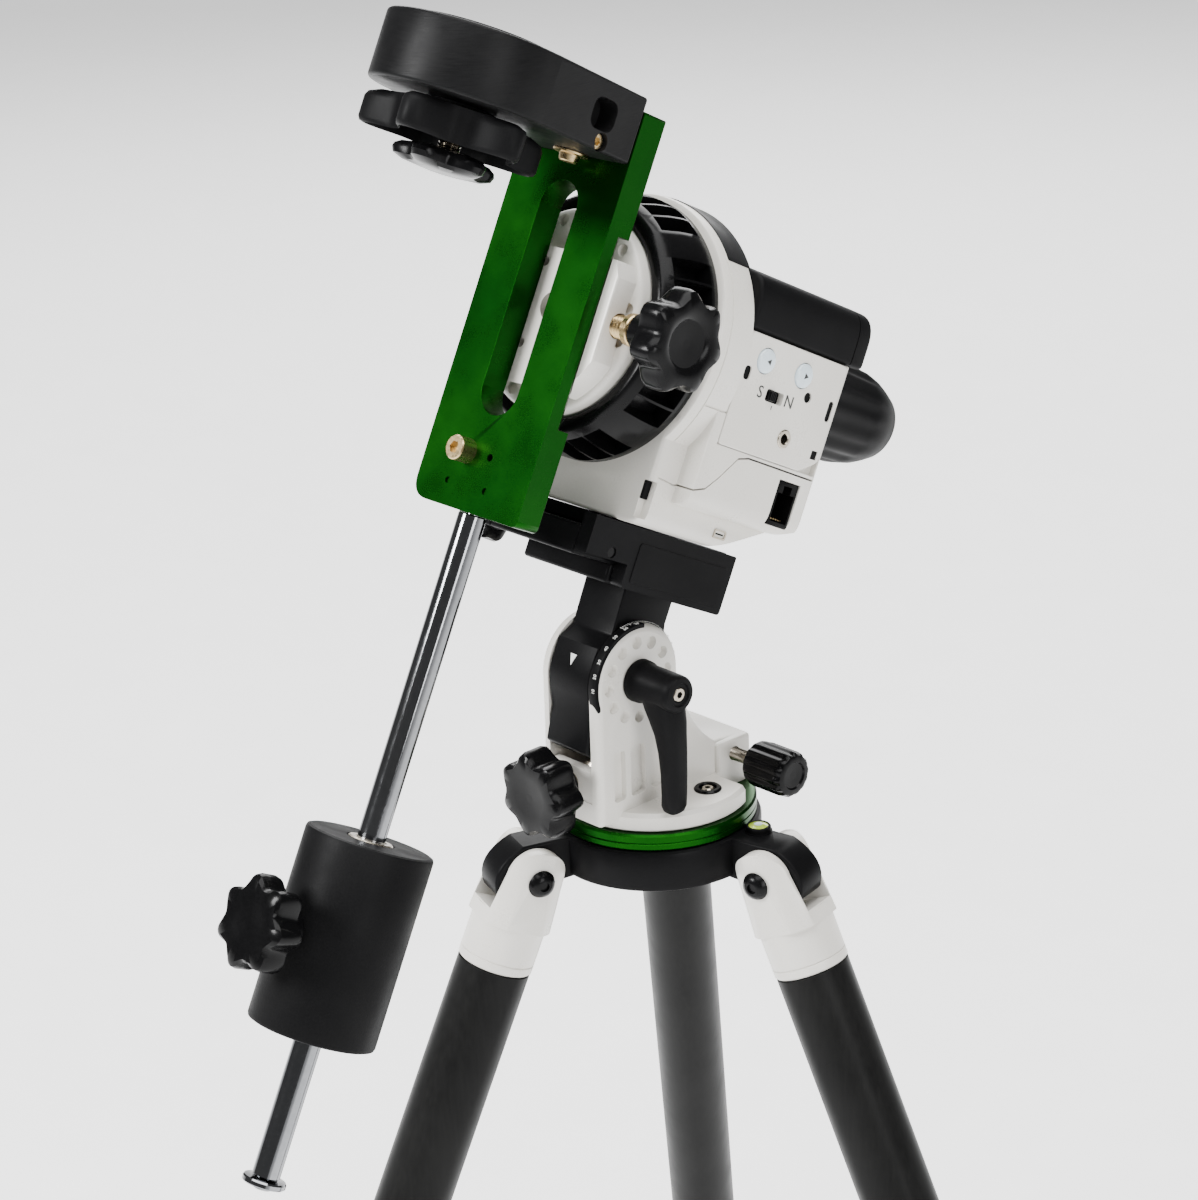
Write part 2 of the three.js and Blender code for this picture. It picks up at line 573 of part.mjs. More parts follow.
function raSaddle() {
  const face = 12;
  const disc = turned([[0, face], [HUB_R - 3, face], [HUB_R, face + 3], [HUB_R, 44], [38, 44],
    [38, 24 - GAP], [0, 24 - GAP]], 40, 'y');
  const rails = common(
    join(box(-38, -25.4, 0.9, face + 1, -34, 24), box(25.4, 38, 0.9, face + 1, -34, 24),
      box(-30, 30, BRACKET.thick / 2 + GAP, face + 1, -34, 24)),
    rod('y', HUB_R - 2, -5, 30, { sides: 48 }));
  const bevel = BRACKET.half + 0.5;
  const groove = slab('z', [[-bevel, 0.2], [bevel, 0.2], [bevel - 6.4, 6.7], [-bevel + 6.4, 6.7]], -60, 60);
  const bore = rod('y', 6, -10, 40, { sides: 24 });
  const boltBore = rod('x', 5 + GAP, 20, 60, { at: [9.8, -1], sides: 20 });
  const spindleSeat = rod('y', SPINDLE_BORE + GAP, 19, 40, { sides: 24 });
  const screwHole = (x, z) => rod('y', 2.2, 0, 18, { at: [x, z], sides: 12 });
  const eyes = [-17.5, 17.5].flatMap((z) => [screwHole(-10.9, z), screwHole(10.9, z)]);
  return cut(join(disc, rails), groove, bore, boltBore, spindleSeat, eyes);
}

function clutchRing() {
  const outer = 57;
  const profile = [[RING_IN, 17.7], [50, 17.7], [53.4, 22], [outer, 38], [outer, DRUM_FRONT - GAP],
    [RING_IN, DRUM_FRONT - GAP], [RING_IN, 17.7]];
  const ring = turned(profile, 48, 'y');
  const pockets = Array.from({ length: 8 }, (unused, i) =>
    box(-9, 9, 22.5, 39, 49.5, 70).rotateY(rad(22.5 + 45 * i)));
  return cut(ring, pockets);
}

const CLAMP_Y = 9.8;
const CLAMP_Z = -1;
const CLAMP_KNOB_IN = 50;
const CLAMP_KNOB_OUT = 79;

function clampBolt() {
  return rod('x', 5, 28.4, 64, { at: [CLAMP_Y, CLAMP_Z], sides: 24 });
}

function clampKnob() {
  const at = [CLAMP_Y, CLAMP_Z];
  const star = starKnob('x', 21.5, 7, 64, CLAMP_KNOB_OUT, { at });
  const neck = rod('x', 7.4, CLAMP_KNOB_IN, 60, { at });
  const flare = rod('x', 7.4, 59, 65, { at, end: 13 });
  return cut(join(star, neck, flare), rod('x', 5 + GAP, 40, 64 + GAP, { at, sides: 24 }));
}

function buildPolarUnit(parent) {
  add(parent, 'front_housing', housing(), CREAM);
  add(parent, 'side_cover', sideCover(), CREAM);
  add(parent, 'battery_cover', batteryCover(), BLACK);
  add(parent, 'slew_button_front', slewButton(BUTTON_SPOTS.front), BUTTON);
  add(parent, 'slew_button_rear', slewButton(BUTTON_SPOTS.rear), BUTTON);
  add(parent, 'hemisphere_switch', hemisphereSwitch(), BLACK);
  add(parent, 'guide_port', guidePort(), BLACK);
  add(parent, 'date_ring', dateRing(), BLACK);
  add(parent, 'eyepiece_ring', eyepieceRing(), BLACK);
  add(parent, 'polar_scope', polarScope(), BLACK);
  add(parent, 'stepper_motor', stepperMotor(), STEEL);
  add(parent, 'ra_worm', raWorm(), STEEL);
  add(parent, 'ra_spindle', raSpindle(), STEEL);
  add(parent, 'ra_saddle', raSaddle(), CREAM);
  add(parent, 'clutch_ring', clutchRing(), GLOSS);
  add(parent, 'clamp_bolt', clampBolt(), STEEL);
  add(parent, 'clamp_knob', clampKnob(), GLOSS);
}

// ---- bracket, counterweight and declination head; same origin ------------------------------
function bracket() {
  const { half, thick, low, high } = BRACKET;
  const r = 9;
  const face = new THREE.Shape();      // (x, z), lower corners rounded
  face.moveTo(-half, high);
  face.lineTo(-half, low + r);
  face.quadraticCurveTo(-half, low, -half + r, low);
  face.lineTo(half - 1.5, low);
  face.lineTo(half, low + 1.5);
  face.lineTo(half, high);
  const slot = new THREE.Shape();
  slot.absarc(0, SLOT.high - SLOT.half, SLOT.half, 0, Math.PI, false);
  slot.absarc(0, SLOT.low + SLOT.half, SLOT.half, Math.PI, 2 * Math.PI, false);
  face.holes.push(new THREE.Path(slot.getPoints(8).reverse()));
  const plate = slab('y', face, -thick / 2, thick / 2);
  const bevels = [-1, 1].map((s) => slab('z',
    [[s * half, 0], [s * (half - 6.4), 7], [s * (half + 9), 7], [s * (half + 9), 0]], -48, 33));
  const shaftHole = rod('z', 3.2, low - 1, low + 14, { sides: 16 });
  const capHole = rod('y', 3.3, -20, 20, { at: [-7.5, -66.8], sides: 16 });
  const sideHole = rod('y', 1.6, -20, 20, { at: [6.2, -66.8], sides: 12 });
  return cut(plate, bevels, shaftHole, capHole, sideHole);
}

function weightShaft() {
  const top = BRACKET.low - GAP;
  const bar = rod('z', SHAFT_R, top - SHAFT_LENGTH, top, { sides: 28 });
  const stud = rod('z', 2.9, top - 1, top + 12, { sides: 16 });
  return join(bar, stud);
}

function shaftEndCap() {
  const top = BRACKET.low - 2 * GAP - SHAFT_LENGTH;
  return turned([[0, top - 5], [3.4, top - 5], [4.4, top - 3.4], [9.4, top - 3], [9.4, top - 0.8],
    [8.6, top], [0, top]], 20);
}

const WEIGHT_TOP = BRACKET.low - WEIGHT.below;

function counterweight() {
  const low = WEIGHT_TOP - WEIGHT.length;
  const r = WEIGHT.r;
  const bore = SHAFT_R + GAP;
  const body = turned([[bore, low], [r - 1.2, low], [r, low + 1.2], [r, WEIGHT_TOP - 1.2],
    [r - 1.2, WEIGHT_TOP], [bore, WEIGHT_TOP], [bore, low]], 32);
  const seat = rod('y', 4.2, -40, -6, { at: [0, (low + WEIGHT_TOP) / 2], sides: 20 });
  return cut(body, seat);
}

function weightLockKnob() {
  const at = [0, WEIGHT_TOP - WEIGHT.length / 2];
  const star = starKnob('y', 20.5, 7, -WEIGHT.r - 24, -WEIGHT.r - 9, { at });
  const neck = rod('y', 8.4, -WEIGHT.r - 10, -WEIGHT.r - GAP, { at, sides: 24 });
  const screw = rod('y', 3.9, -WEIGHT.r - 1, -SHAFT_R - GAP, { at, sides: 20 });
  return join(star, neck, screw);
}

function decArm() {
  const { ahead, r, low, high } = DEC;
  const back = -BRACKET.thick / 2 - GAP;
  const outline = new THREE.Shape();   // (x, y) seen down the declination axis
  outline.moveTo(BRACKET.half, back);
  outline.lineTo(-BRACKET.half, back);
  outline.lineTo(-r, -ahead);
  outline.absarc(0, -ahead, r, Math.PI, 2 * Math.PI, false);
  const push = { depth: high - low, bevelEnabled: false, curveSegments: 24 };
  const body = new THREE.ExtrudeGeometry(outline, push).translate(0, 0, low);
  const recess = rod('z', 30, high - 5, high + 5, { at: [0, -ahead], sides: 48 });
  const bore = rod('z', 8.5, low - 1, high + 1, { at: [0, -ahead], sides: 28 });
  const access = rod('x', 5.5, 22, 60, { at: [-29.5, 79], sides: 20 });
  return cut(body, recess, bore, access);
}

function decTurntable() {
  const { ahead, high } = DEC;
  const disc = rod('z', 29.6, high - 5 + GAP, high + 1.6, { at: [0, -ahead], sides: 48 });
  const spindle = rod('z', 8.2, DEC.low - 4, high - 4, { at: [0, -ahead], sides: 28 });
  const bore = rod('z', 5, DEC.low - 10, high + 10, { at: [0, -ahead], sides: 20 });
  return cut(join(disc, spindle), bore);
}

function decClutchWheel() {
  const { ahead, low } = DEC;
  const wheel = starKnob('z', 37, 6, low - 14, low - 2, { at: [0, -ahead], dip: 0.12 });
  const neck = rod('z', 14, low - 3, low - GAP, { at: [0, -ahead], sides: 28 });
  const bore = rod('z', 8.5, low - 5, low + 1, { at: [0, -ahead], sides: 28 });
  const screwBore = rod('z', 5, low - 20, low, { at: [0, -ahead], sides: 20 });
  return cut(join(wheel, neck), bore, screwBore);
}

function decLockKnob() {
  const { ahead, low, high } = DEC;
  const star = starKnob('z', 22, 4, low - 27, low - 19, { at: [0, -ahead], dip: 0.2 });
  const screw = rod('z', 4.6, low - 20, high + 1, { at: [0, -ahead], sides: 20 });
  return join(star, screw);
}

function buildBracket(parent) {
  add(parent, 'bracket', bracket(), GREEN);
  add(parent, 'weight_shaft', weightShaft(), STEEL);
  add(parent, 'shaft_end_cap', shaftEndCap(), STEEL);
  add(parent, 'counterweight', counterweight(), IRON);
  add(parent, 'weight_lock_knob', weightLockKnob(), GLOSS);
  add(parent, 'dec_arm', decArm(), BLACK);
  add(parent, 'dec_turntable', decTurntable(), BLACK);
  add(parent, 'dec_clutch_wheel', decClutchWheel(), GLOSS);
  add(parent, 'dec_lock_knob', decLockKnob(), GLOSS);
}

// ---- assembly -----------------------------------------------------------------------------
const whole = frame(model, [0, 0, 0]);
buildTripod(whole);
buildBase(whole);
const arm = frame(whole, PIVOT.toArray(), [-rad(LATITUDE), 0, 0]);
buildArm(arm);
const polar = frame(arm, [0, -BRACKET_AHEAD, AXIS_RISE]);
buildPolarUnit(polar);
buildBracket(polar);

model.updateMatrixWorld(true);
const bounds = new THREE.Box3().setFromObject(model, true);
const centre = bounds.getCenter(new THREE.Vector3());
whole.position.set(-centre.x, -centre.y, -bounds.min.z);
model.updateMatrixWorld(true);

export default model;
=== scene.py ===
"""Looks for a portable equatorial mount: a tracking head on a latitude base and a tripod."""

import json
import logging
import math
from dataclasses import dataclass
from enum import Enum
from typing import Iterable, Optional, Sequence, Union

import bmesh
import bpy
from mathutils import Matrix, Vector


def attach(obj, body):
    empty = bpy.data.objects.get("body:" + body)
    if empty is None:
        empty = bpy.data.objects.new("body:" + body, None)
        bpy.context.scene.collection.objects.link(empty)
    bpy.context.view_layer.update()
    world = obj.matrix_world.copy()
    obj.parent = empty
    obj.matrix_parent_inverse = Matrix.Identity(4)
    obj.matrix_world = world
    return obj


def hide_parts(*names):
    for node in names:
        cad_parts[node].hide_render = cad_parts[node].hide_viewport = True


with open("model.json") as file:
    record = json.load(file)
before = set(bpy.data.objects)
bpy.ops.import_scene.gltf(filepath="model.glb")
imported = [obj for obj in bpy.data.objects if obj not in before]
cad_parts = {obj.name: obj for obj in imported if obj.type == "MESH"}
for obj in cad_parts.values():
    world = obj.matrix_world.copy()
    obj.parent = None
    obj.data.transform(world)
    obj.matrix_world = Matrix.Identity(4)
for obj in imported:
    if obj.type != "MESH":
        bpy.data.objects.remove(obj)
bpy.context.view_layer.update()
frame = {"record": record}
LOG = logging.getLogger("mount")
MM = 0.001

Point = tuple[float, float]
Spot = tuple[float, float, float]


class Axis(Enum):
    """Direction that a turned or pushed shape follows in its own place."""

    X = 0
    Y = 1
    Z = 2


# ---- places ---------------------------------------------------------------------------------
@dataclass(frozen=True)
class Place:
    """A local frame in millimetres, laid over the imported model."""

    matrix: Matrix

    @staticmethod
    def of(origin: Vector, x: Vector, y: Vector, z: Vector) -> "Place":
        """Build a place from its origin in metres and its three unit axes.

        Args:
            origin: where the place is, in metres.
            x: first axis.
            y: second axis.
            z: third axis.

        Returns:
            The place.
        """
        turn = Matrix((x, y, z)).transposed().to_4x4()
        return Place(Matrix.Translation(origin) @ turn @ Matrix.Scale(MM, 4))

    def point(self, x: float, y: float, z: float) -> Vector:
        """Return a point of this place in metres of the model."""
        return self.matrix @ Vector((x, y, z))


def joint(name: str) -> dict:
    """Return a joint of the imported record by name."""
    return next(j for j in frame["record"]["behaviour"]["joints"] if j["name"] == name)


class Places:
    """The frames that every sub-assembly is laid out in."""

    def __init__(self) -> None:
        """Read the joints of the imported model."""
        up = Vector((0, 0, 1))
        pin = Vector(joint("leg_1_fold")["pos_m"])
        post = Vector(joint("azimuth")["pos_m"])
        self.base = Place.of(Vector((post.x, post.y, pin.z)), Vector((1, 0, 0)), Vector((0, 1, 0)), up)
        pivot = Vector(joint("altitude")["pos_m"])
        pole = Vector(joint("right_ascension")["axis"]).normalized()
        right = Vector((1, 0, 0))
        rise = right.cross(-pole)
        self.arm = Place.of(pivot, right, -pole, rise)
        self.polar = Place.of(Vector(joint("right_ascension")["pos_m"]), right, -pole, rise)
        self.pivot = Place.of(pivot, right, Vector((0, 1, 0)), up)

    def leg(self, number: int) -> Place:
        """Return a leg's place: Z up the leg, Y along its hinge pin.

        Args:
            number: which leg, from 1.

        Returns:
            The leg's place, with its origin at the pin.
        """
        fold = joint(f"leg_{number}_fold")
        up = -Vector(joint(f"leg_{number}_extend")["axis"])
        across = Vector(fold["axis"])
        return Place.of(Vector(fold["pos_m"]), across.cross(up), across, up)


# ---- shader tools ---------------------------------------------------------------------------
Value = Union["Field", float]


class Field:
    """A number socket of a material that can be used in arithmetic."""

    def __init__(self, shader: "Shader", socket: bpy.types.NodeSocket) -> None:
        """Wrap a socket of a shader's tree."""
        self.shader = shader
        self.socket = socket

    def _math(self, operation: str, a: Value, b: Value = 0.0) -> "Field":
        """Add a Math node on two values and return its result."""
        return self.shader.node("ShaderNodeMath", {"operation": operation}, {0: a, 1: b})

    def __add__(self, other: Value) -> "Field":
        """Return this plus other."""
        return self._math("ADD", self, other)

    __radd__ = __add__

    def __mul__(self, other: Value) -> "Field":
        """Return this times other."""
        return self._math("MULTIPLY", self, other)

    __rmul__ = __mul__


class Shader:
    """A procedural material with one Principled surface."""

    def __init__(self, name: str, **surface: object) -> None:
        """Start a material and set the constant inputs of its surface.

        Args:
            name: the material's name.
            surface: Principled inputs, with underscores for spaces.
        """
        self.material = bpy.data.materials.new(name)
        self.material.use_nodes = True
        self.tree = self.material.node_tree
        self.surface = self.tree.nodes["Principled BSDF"]
        for key, value in surface.items():
            self.surface.inputs[key.replace("_", " ").title().replace("Ior", "IOR")].default_value = value

    def node(self, kind: str, settings: dict, inputs: dict, output: Union[int, str] = 0) -> Field:
        """Add a node.

        Args:
            kind: the node's type.
            settings: attributes set before the sockets.
            inputs: values or fields, by socket name or number.
            output: the output socket to return.

        Returns:
            The output as a field.
        """
        node = self.tree.nodes.new(kind)
        for key, value in settings.items():
            setattr(node, key, value)
        for key, value in inputs.items():
            if isinstance(value, Field):
                self.tree.links.new(value.socket, node.inputs[key])
            else:
                node.inputs[key].default_value = value
        return Field(self, node.outputs[output])

    def coords(self) -> Field:
        """Return the object's own coordinates."""
        return self.node("ShaderNodeTexCoord", {}, {}, "Object")

    def noise(self, scale: float, detail: float = 4.0, stretch: Optional[Spot] = None) -> Field:
        """Return a noise value.

        Args:
            scale: cycles per metre.
            detail: octaves.
            stretch: scale of each axis before the noise.

        Returns:
            Noise from 0 to 1.
        """
        where = self.coords()
        if stretch is not None:
            where = self.node("ShaderNodeMapping", {}, {"Vector": where, "Scale": stretch})
        return self.node("ShaderNodeTexNoise", {}, {"Vector": where, "Scale": scale, "Detail": detail})

    def mix(self, amount: Value, a: Sequence[float], b: Sequence[float]) -> Field:
        """Return a colour between a and b."""
        settings = {"data_type": "RGBA"}
        return self.node("ShaderNodeMix", settings, {0: amount, 6: (*a[:3], 1.0), 7: (*b[:3], 1.0)}, 2)

    def ramp(self, amount: Value, low: float, high: float, to_low: float = 0.0,
             to_high: float = 1.0) -> Field:
        """Return amount mapped from low..high to to_low..to_high and clamped."""
        return self.node("ShaderNodeMapRange", {"clamp": True}, {
            "Value": amount, "From Min": low, "From Max": high, "To Min": to_low, "To Max": to_high})

    def feed(self, name: str, value: Field) -> None:
        """Link a field to one of the surface's inputs."""
        self.tree.links.new(value.socket, self.surface.inputs[name])

    def bump(self, height: Field, distance: float, strength: float = 1.0) -> None:
        """Give the surface a bump of a height field."""
        normal = self.node("ShaderNodeBump", {}, {
            "Height": height, "Distance": distance, "Strength": strength}, "Normal")
        self.feed("Normal", normal)


# ---- finishes -------------------------------------------------------------------------------
@dataclass(frozen=True)
class Coat:
    """A painted, moulded or anodised surface.

    Attributes:
        name: the finish's name.
        dark: colour in its deeper patches.
        light: colour in its lighter patches.
        rough: lowest and highest roughness.
        metal: metallic share.
        grain: size of the fine grain, in cycles per metre.
        relief: depth of the grain, in metres.
        stretch: how the grain is drawn out along each axis.
        extra: other constant inputs of the surface.
    """

    name: str
    dark: Spot
    light: Spot
    rough: Point
    metal: float = 0.0
    grain: float = 900.0
    relief: float = 0.00003
    stretch: Optional[Spot] = None
    extra: tuple[tuple[str, float], ...] = ()

    def build(self) -> bpy.types.Material:
        """Return the material."""
        shader = Shader(self.name, metallic=self.metal, **dict(self.extra))
        cloud = shader.noise(18.0, 5.0)
        grain = shader.noise(self.grain, 3.0, self.stretch)
        smear = shader.noise(60.0, 6.0)
        tone = shader.ramp(cloud * 0.7 + grain * 0.3, 0.35, 0.65)
        shader.feed("Base Color", shader.mix(tone, self.dark, self.light))
        shader.feed("Roughness", shader.ramp(smear * 0.65 + grain * 0.35, 0.35, 0.65, *self.rough))
        shader.bump(grain, self.relief)
        return shader.material


COATS = (
    Coat("green_anodised", (0.0022, 0.040, 0.0018), (0.0042, 0.062, 0.0026), (0.25, 0.35), 0.85, 2600.0,
         0.000012, None, (("specular_ior_level", 0.08),)),
    Coat("cream_enamel", (0.66, 0.635, 0.585), (0.73, 0.71, 0.66), (0.26, 0.40), 0.0, 1100.0, 0.00002,
         None, (("coat_weight", 0.12), ("coat_roughness", 0.2))),
    Coat("black_enamel", (0.0035, 0.0035, 0.0038), (0.0065, 0.0065, 0.007), (0.30, 0.42), 0.0, 1500.0,
         0.00003,
         None, (("specular_ior_level", 0.05),)),
    Coat("brushed_black", (0.005, 0.005, 0.0053), (0.011, 0.011, 0.0113), (0.30, 0.46), 0.0, 300.0,
         0.00004, (0.5, 0.5, 9.0), (("specular_ior_level", 0.07),)),
    Coat("gloss_black_plastic", (0.0025, 0.0025, 0.0027), (0.0042, 0.0042, 0.0046), (0.17, 0.27), 0.0,
         700.0,
         0.000015, None, (("specular_ior_level", 0.11),)),
    Coat("matte_black_plastic", (0.0035, 0.0035, 0.0038), (0.007, 0.007, 0.0074), (0.38, 0.52), 0.0, 2200.0,
         0.00004, None, (("specular_ior_level", 0.05),)),
    Coat("weight_iron", (0.004, 0.004, 0.0043), (0.008, 0.008, 0.0083), (0.42, 0.58), 0.0, 1300.0, 0.00007,
         None, (("specular_ior_level", 0.05),)),
    Coat("tube_anodised", (0.005, 0.005, 0.005), (0.010, 0.010, 0.0098), (0.32, 0.42), 0.0, 500.0,
         0.00002, (1.0, 1.0, 0.06), (("specular_ior_level", 0.07),)),
    Coat("foot_rubber", (0.008, 0.008, 0.008), (0.015, 0.015, 0.0145), (0.7, 0.85), 0.0, 900.0, 0.00009,
         None, (("specular_ior_level", 0.15),)),
    Coat("steel", (0.36, 0.32, 0.26), (0.53, 0.48, 0.40), (0.20, 0.34), 1.0, 900.0, 0.00002),
    Coat("chrome_shaft", (0.20, 0.205, 0.215), (0.26, 0.265, 0.275), (0.07, 0.12), 1.0, 500.0, 0.000004),
    Coat("brass", (0.46, 0.33, 0.16), (0.60, 0.46, 0.25), (0.22, 0.34), 1.0, 900.0, 0.00002),
    Coat("button_plastic", (0.56, 0.68, 0.76), (0.68, 0.78, 0.84), (0.12, 0.2), 0.0, 500.0, 0.00001,
         None, (("coat_weight", 0.4),)),
    Coat("white_ink", (0.72, 0.72, 0.69), (0.82, 0.82, 0.79), (0.4, 0.5)),
    Coat("dark_ink", (0.008, 0.008, 0.009), (0.014, 0.014, 0.014), (0.4, 0.5)),
    Coat("socket_black", (0.0015, 0.0015, 0.0015), (0.003, 0.003, 0.003), (0.5, 0.6), 0.0, 900.0, 0.00002,
         None, (("specular_ior_level", 0.08),)),
    Coat("grey_cover", (0.009, 0.009, 0.0095), (0.015, 0.015, 0.0155), (0.36, 0.48), 0.0, 1800.0, 0.00003,
         None, (("specular_ior_level", 0.15),)),
    Coat("lens_glass", (0.004, 0.005, 0.012), (0.006, 0.008, 0.018), (0.02, 0.05), 0.0, 300.0, 0.000002,
         None, (("coat_weight", 1.0),)),
    Coat("vial_green", (0.42, 0.60, 0.05), (0.55, 0.72, 0.10), (0.08, 0.14), 0.0, 300.0, 0.000004,
         None, (("coat_weight", 0.6),)),
)


class Finishes:
    """All materials of the mount, built once."""

    def __init__(self) -> None:
        """Build every coat."""
        self._made = {coat.name: coat.build() for coat in COATS}

    def __getitem__(self, name: str) -> bpy.types.Material:
        """Return a material by its finish's name."""
        return self._made[name]


# ---- solids ---------------------------------------------------------------------------------
def _lay(a: float, b: float, h: float, axis: Axis) -> Spot:
    """Turn a point across (a, b) and along (h) an axis into x, y, z."""
    return {Axis.X: (h, a, b), Axis.Y: (a, h, b), Axis.Z: (a, b, h)}[axis]


class Solid:
    """A closed mesh being made in millimetres in its own place."""

    def __init__(self, mesh: bpy.types.Mesh) -> None:
        """Hold a mesh in a scratch object."""
        self.object = bpy.data.objects.new("scratch", mesh)
        bpy.context.scene.collection.objects.link(self.object)

    @staticmethod
    def from_faces(points: Iterable[Spot], faces: Iterable[Sequence[int]]) -> "Solid":
        """Make a solid of points and faces, with its faces turned outwards.

        Args:
            points: corners, in millimetres.
            faces: corner numbers of each face.

        Returns:
            The solid.
        """
        mesh = bpy.data.meshes.new("scratch")
        mesh.from_pydata([tuple(p) for p in points], [], [tuple(f) for f in faces])
        maker = bmesh.new()
        maker.from_mesh(mesh)
        bmesh.ops.remove_doubles(maker, verts=maker.verts, dist=1e-5)
        bmesh.ops.recalc_face_normals(maker, faces=maker.faces)
        maker.to_mesh(mesh)
        maker.free()
        return Solid(mesh)

    def _run(self, kind: str, **settings: object) -> "Solid":
        """Apply one modifier to the mesh.

        Args:
            kind: the modifier's type.
            settings: its attributes.

        Returns:
            This solid.
        """
        modifier = self.object.modifiers.new("step", kind)
        for key, value in settings.items():
            setattr(modifier, key, value)
        graph = bpy.context.evaluated_depsgraph_get()
        graph.update()
        made = bpy.data.meshes.new_from_object(self.object.evaluated_get(graph))
        self.object.modifiers.clear()
        old = self.object.data
        self.object.data = made
        bpy.data.meshes.remove(old)
        return self

    def bevel(self, width: float, segments: int = 2, angle: float = 35.0) -> "Solid":
        """Round the edges sharper than an angle."""
        return self._run("BEVEL", width=width, segments=segments, limit_method="ANGLE",
                         angle_limit=math.radians(angle), harden_normals=False)

    def _boolean(self, operation: str, others: Sequence["Solid"]) -> "Solid":
        """Apply a boolean with each of the others and discard them."""
        for other in others:
            self._run("BOOLEAN", operation=operation, object=other.object, solver="EXACT")
            other.discard()
        return self

    def cut(self, *others: "Solid") -> "Solid":
        """Take the others away from this solid."""
        return self._boolean("DIFFERENCE", others)

    def join(self, *others: "Solid") -> "Solid":
        """Add the others to this solid."""
        return self._boolean("UNION", others)

    def common(self, *others: "Solid") -> "Solid":
        """Keep only what this solid shares with the others."""
        return self._boolean("INTERSECT", others)

    def with_loose(self, *others: "Solid") -> "Solid":
        """Add the others as separate shells of the same mesh."""
        maker = bmesh.new()
        maker.from_mesh(self.object.data)
        for other in others:
            maker.from_mesh(other.object.data)
            other.discard()
        maker.to_mesh(self.object.data)
        maker.free()
        return self

    def turn(self, degrees: float, axis: Axis) -> "Solid":
        """Turn the solid about an axis through its origin."""
        self.object.data.transform(Matrix.Rotation(math.radians(degrees), 4, axis.name))
        return self

    def move(self, x: float, y: float, z: float) -> "Solid":
        """Move the solid, in millimetres."""
        self.object.data.transform(Matrix.Translation((x, y, z)))
        return self

    def discard(self) -> None:
        """Delete the scratch object and its mesh."""
        mesh = self.object.data
        bpy.data.objects.remove(self.object)
        bpy.data.meshes.remove(mesh)


def lathe(profile: Sequence[Point], axis: Axis = Axis.Z, steps: int = 64, at: Point = (0.0, 0.0)) -> Solid:
    """Turn a profile of (radius, height) points about an axis.

    Args:
        profile: points from one end to the other, or a closed ring of them.
        axis: the axis of the turned shape.
        steps: how many flats go round.
        at: where the axis is, in the other two coordinates.

    Returns:
        The turned solid.
    """
    shift = {Axis.X: (0, at[0], at[1]), Axis.Y: (at[0], 0, at[1]), Axis.Z: (at[0], at[1], 0)}[axis]
    points, faces = [], []
    closed = profile[0][0] > 1e-9 or profile[-1][0] > 1e-9
    ring = list(profile)
    for radius, height in ring:
        for k in range(steps):
            angle = 2 * math.pi * k / steps
            spot = _lay(radius * math.cos(angle), radius * math.sin(angle), height, axis)
            points.append(tuple(s + d for s, d in zip(spot, shift)))
    rows = len(ring)
    for i in range(rows if closed else rows - 1):
        j = (i + 1) % rows
        for k in range(steps):
            n = (k + 1) % steps
            faces.append((i * steps + k, i * steps + n, j * steps + n, j * steps + k))
    return Solid.from_faces(points, faces)


def rod(axis: Axis, radius: float, a: float, b: float, at: Point = (0.0, 0.0), end: Optional[float] = None,
        steps: int = 48) -> Solid:
    """Make a cylinder or cone from a to b along an axis."""
    far = radius if end is None else end
    return lathe([(0, a), (radius, a), (far, b), (0, b)], axis, steps, at)


def block(x: Point, y: Point, z: Point) -> Solid:
    """Make a box between two values on each axis."""
    corners = [(i, j, k) for i in x for j in y for k in z]
    faces = [(0, 1, 3, 2), (4, 6, 7, 5), (0, 4, 5, 1), (2, 3, 7, 6), (0, 2, 6, 4), (1, 5, 7, 3)]
    return Solid.from_faces(corners, faces)


def prism(axis: Axis, outline: Sequence[Point], a: float, b: float) -> Solid:
    """Push an outline from a to b along an axis.

    Args:
        axis: the direction of the push.
        outline: (y, z), (x, z) or (x, y) points, for an axis of X, Y or Z.
        a: start of the push.
        b: end of the push.

    Returns:
        The solid.
    """
    count = len(outline)
    spots = []
    for h in (a, b):
        for u, v in outline:
            spots.append({Axis.X: (h, u, v), Axis.Y: (u, h, v), Axis.Z: (u, v, h)}[axis])
    sides = [(i, (i + 1) % count, count + (i + 1) % count, count + i) for i in range(count)]
    return Solid.from_faces(spots, [tuple(range(count)), tuple(range(count, 2 * count)), *sides])


def arc(centre: Point, radius: float, start: float, stop: float, steps: int = 16) -> list[Point]:
    """Return points on an arc, with its angles in degrees."""
    angles = [math.radians(start + (stop - start) * k / steps) for k in range(steps + 1)]
    return [(centre[0] + radius * math.cos(t), centre[1] + radius * math.sin(t)) for t in angles]


def rounded(corners: Sequence[Point], radius: Union[float, Sequence[float]], steps: int = 6) -> list[Point]:
    """Round the corners of an outline.

    Args:
        corners: the outline's corners.
        radius: one radius, or one for each corner.
        steps: how many pieces each round has.

    Returns:
        The rounded outline.
    """
    count = len(corners)
    radii = [radius] * count if isinstance(radius, (int, float)) else list(radius)
    points: list[Point] = []
    for i, corner in enumerate(corners):
        here = Vector(corner)
        back, ahead = Vector(corners[i - 1]) - here, Vector(corners[(i + 1) % count]) - here
        half = back.angle(ahead) / 2
        reach = min(radii[i] / math.tan(half), back.length * 0.49, ahead.length * 0.49)
        if reach < 1e-6:
            points.append(tuple(here))
            continue
        a, b = here + back.normalized() * reach, here + ahead.normalized() * reach
        for k in range(steps + 1):
            t = k / steps
            points.append(tuple(a * (1 - t) ** 2 + here * 2 * t * (1 - t) + b * t ** 2))
    return points


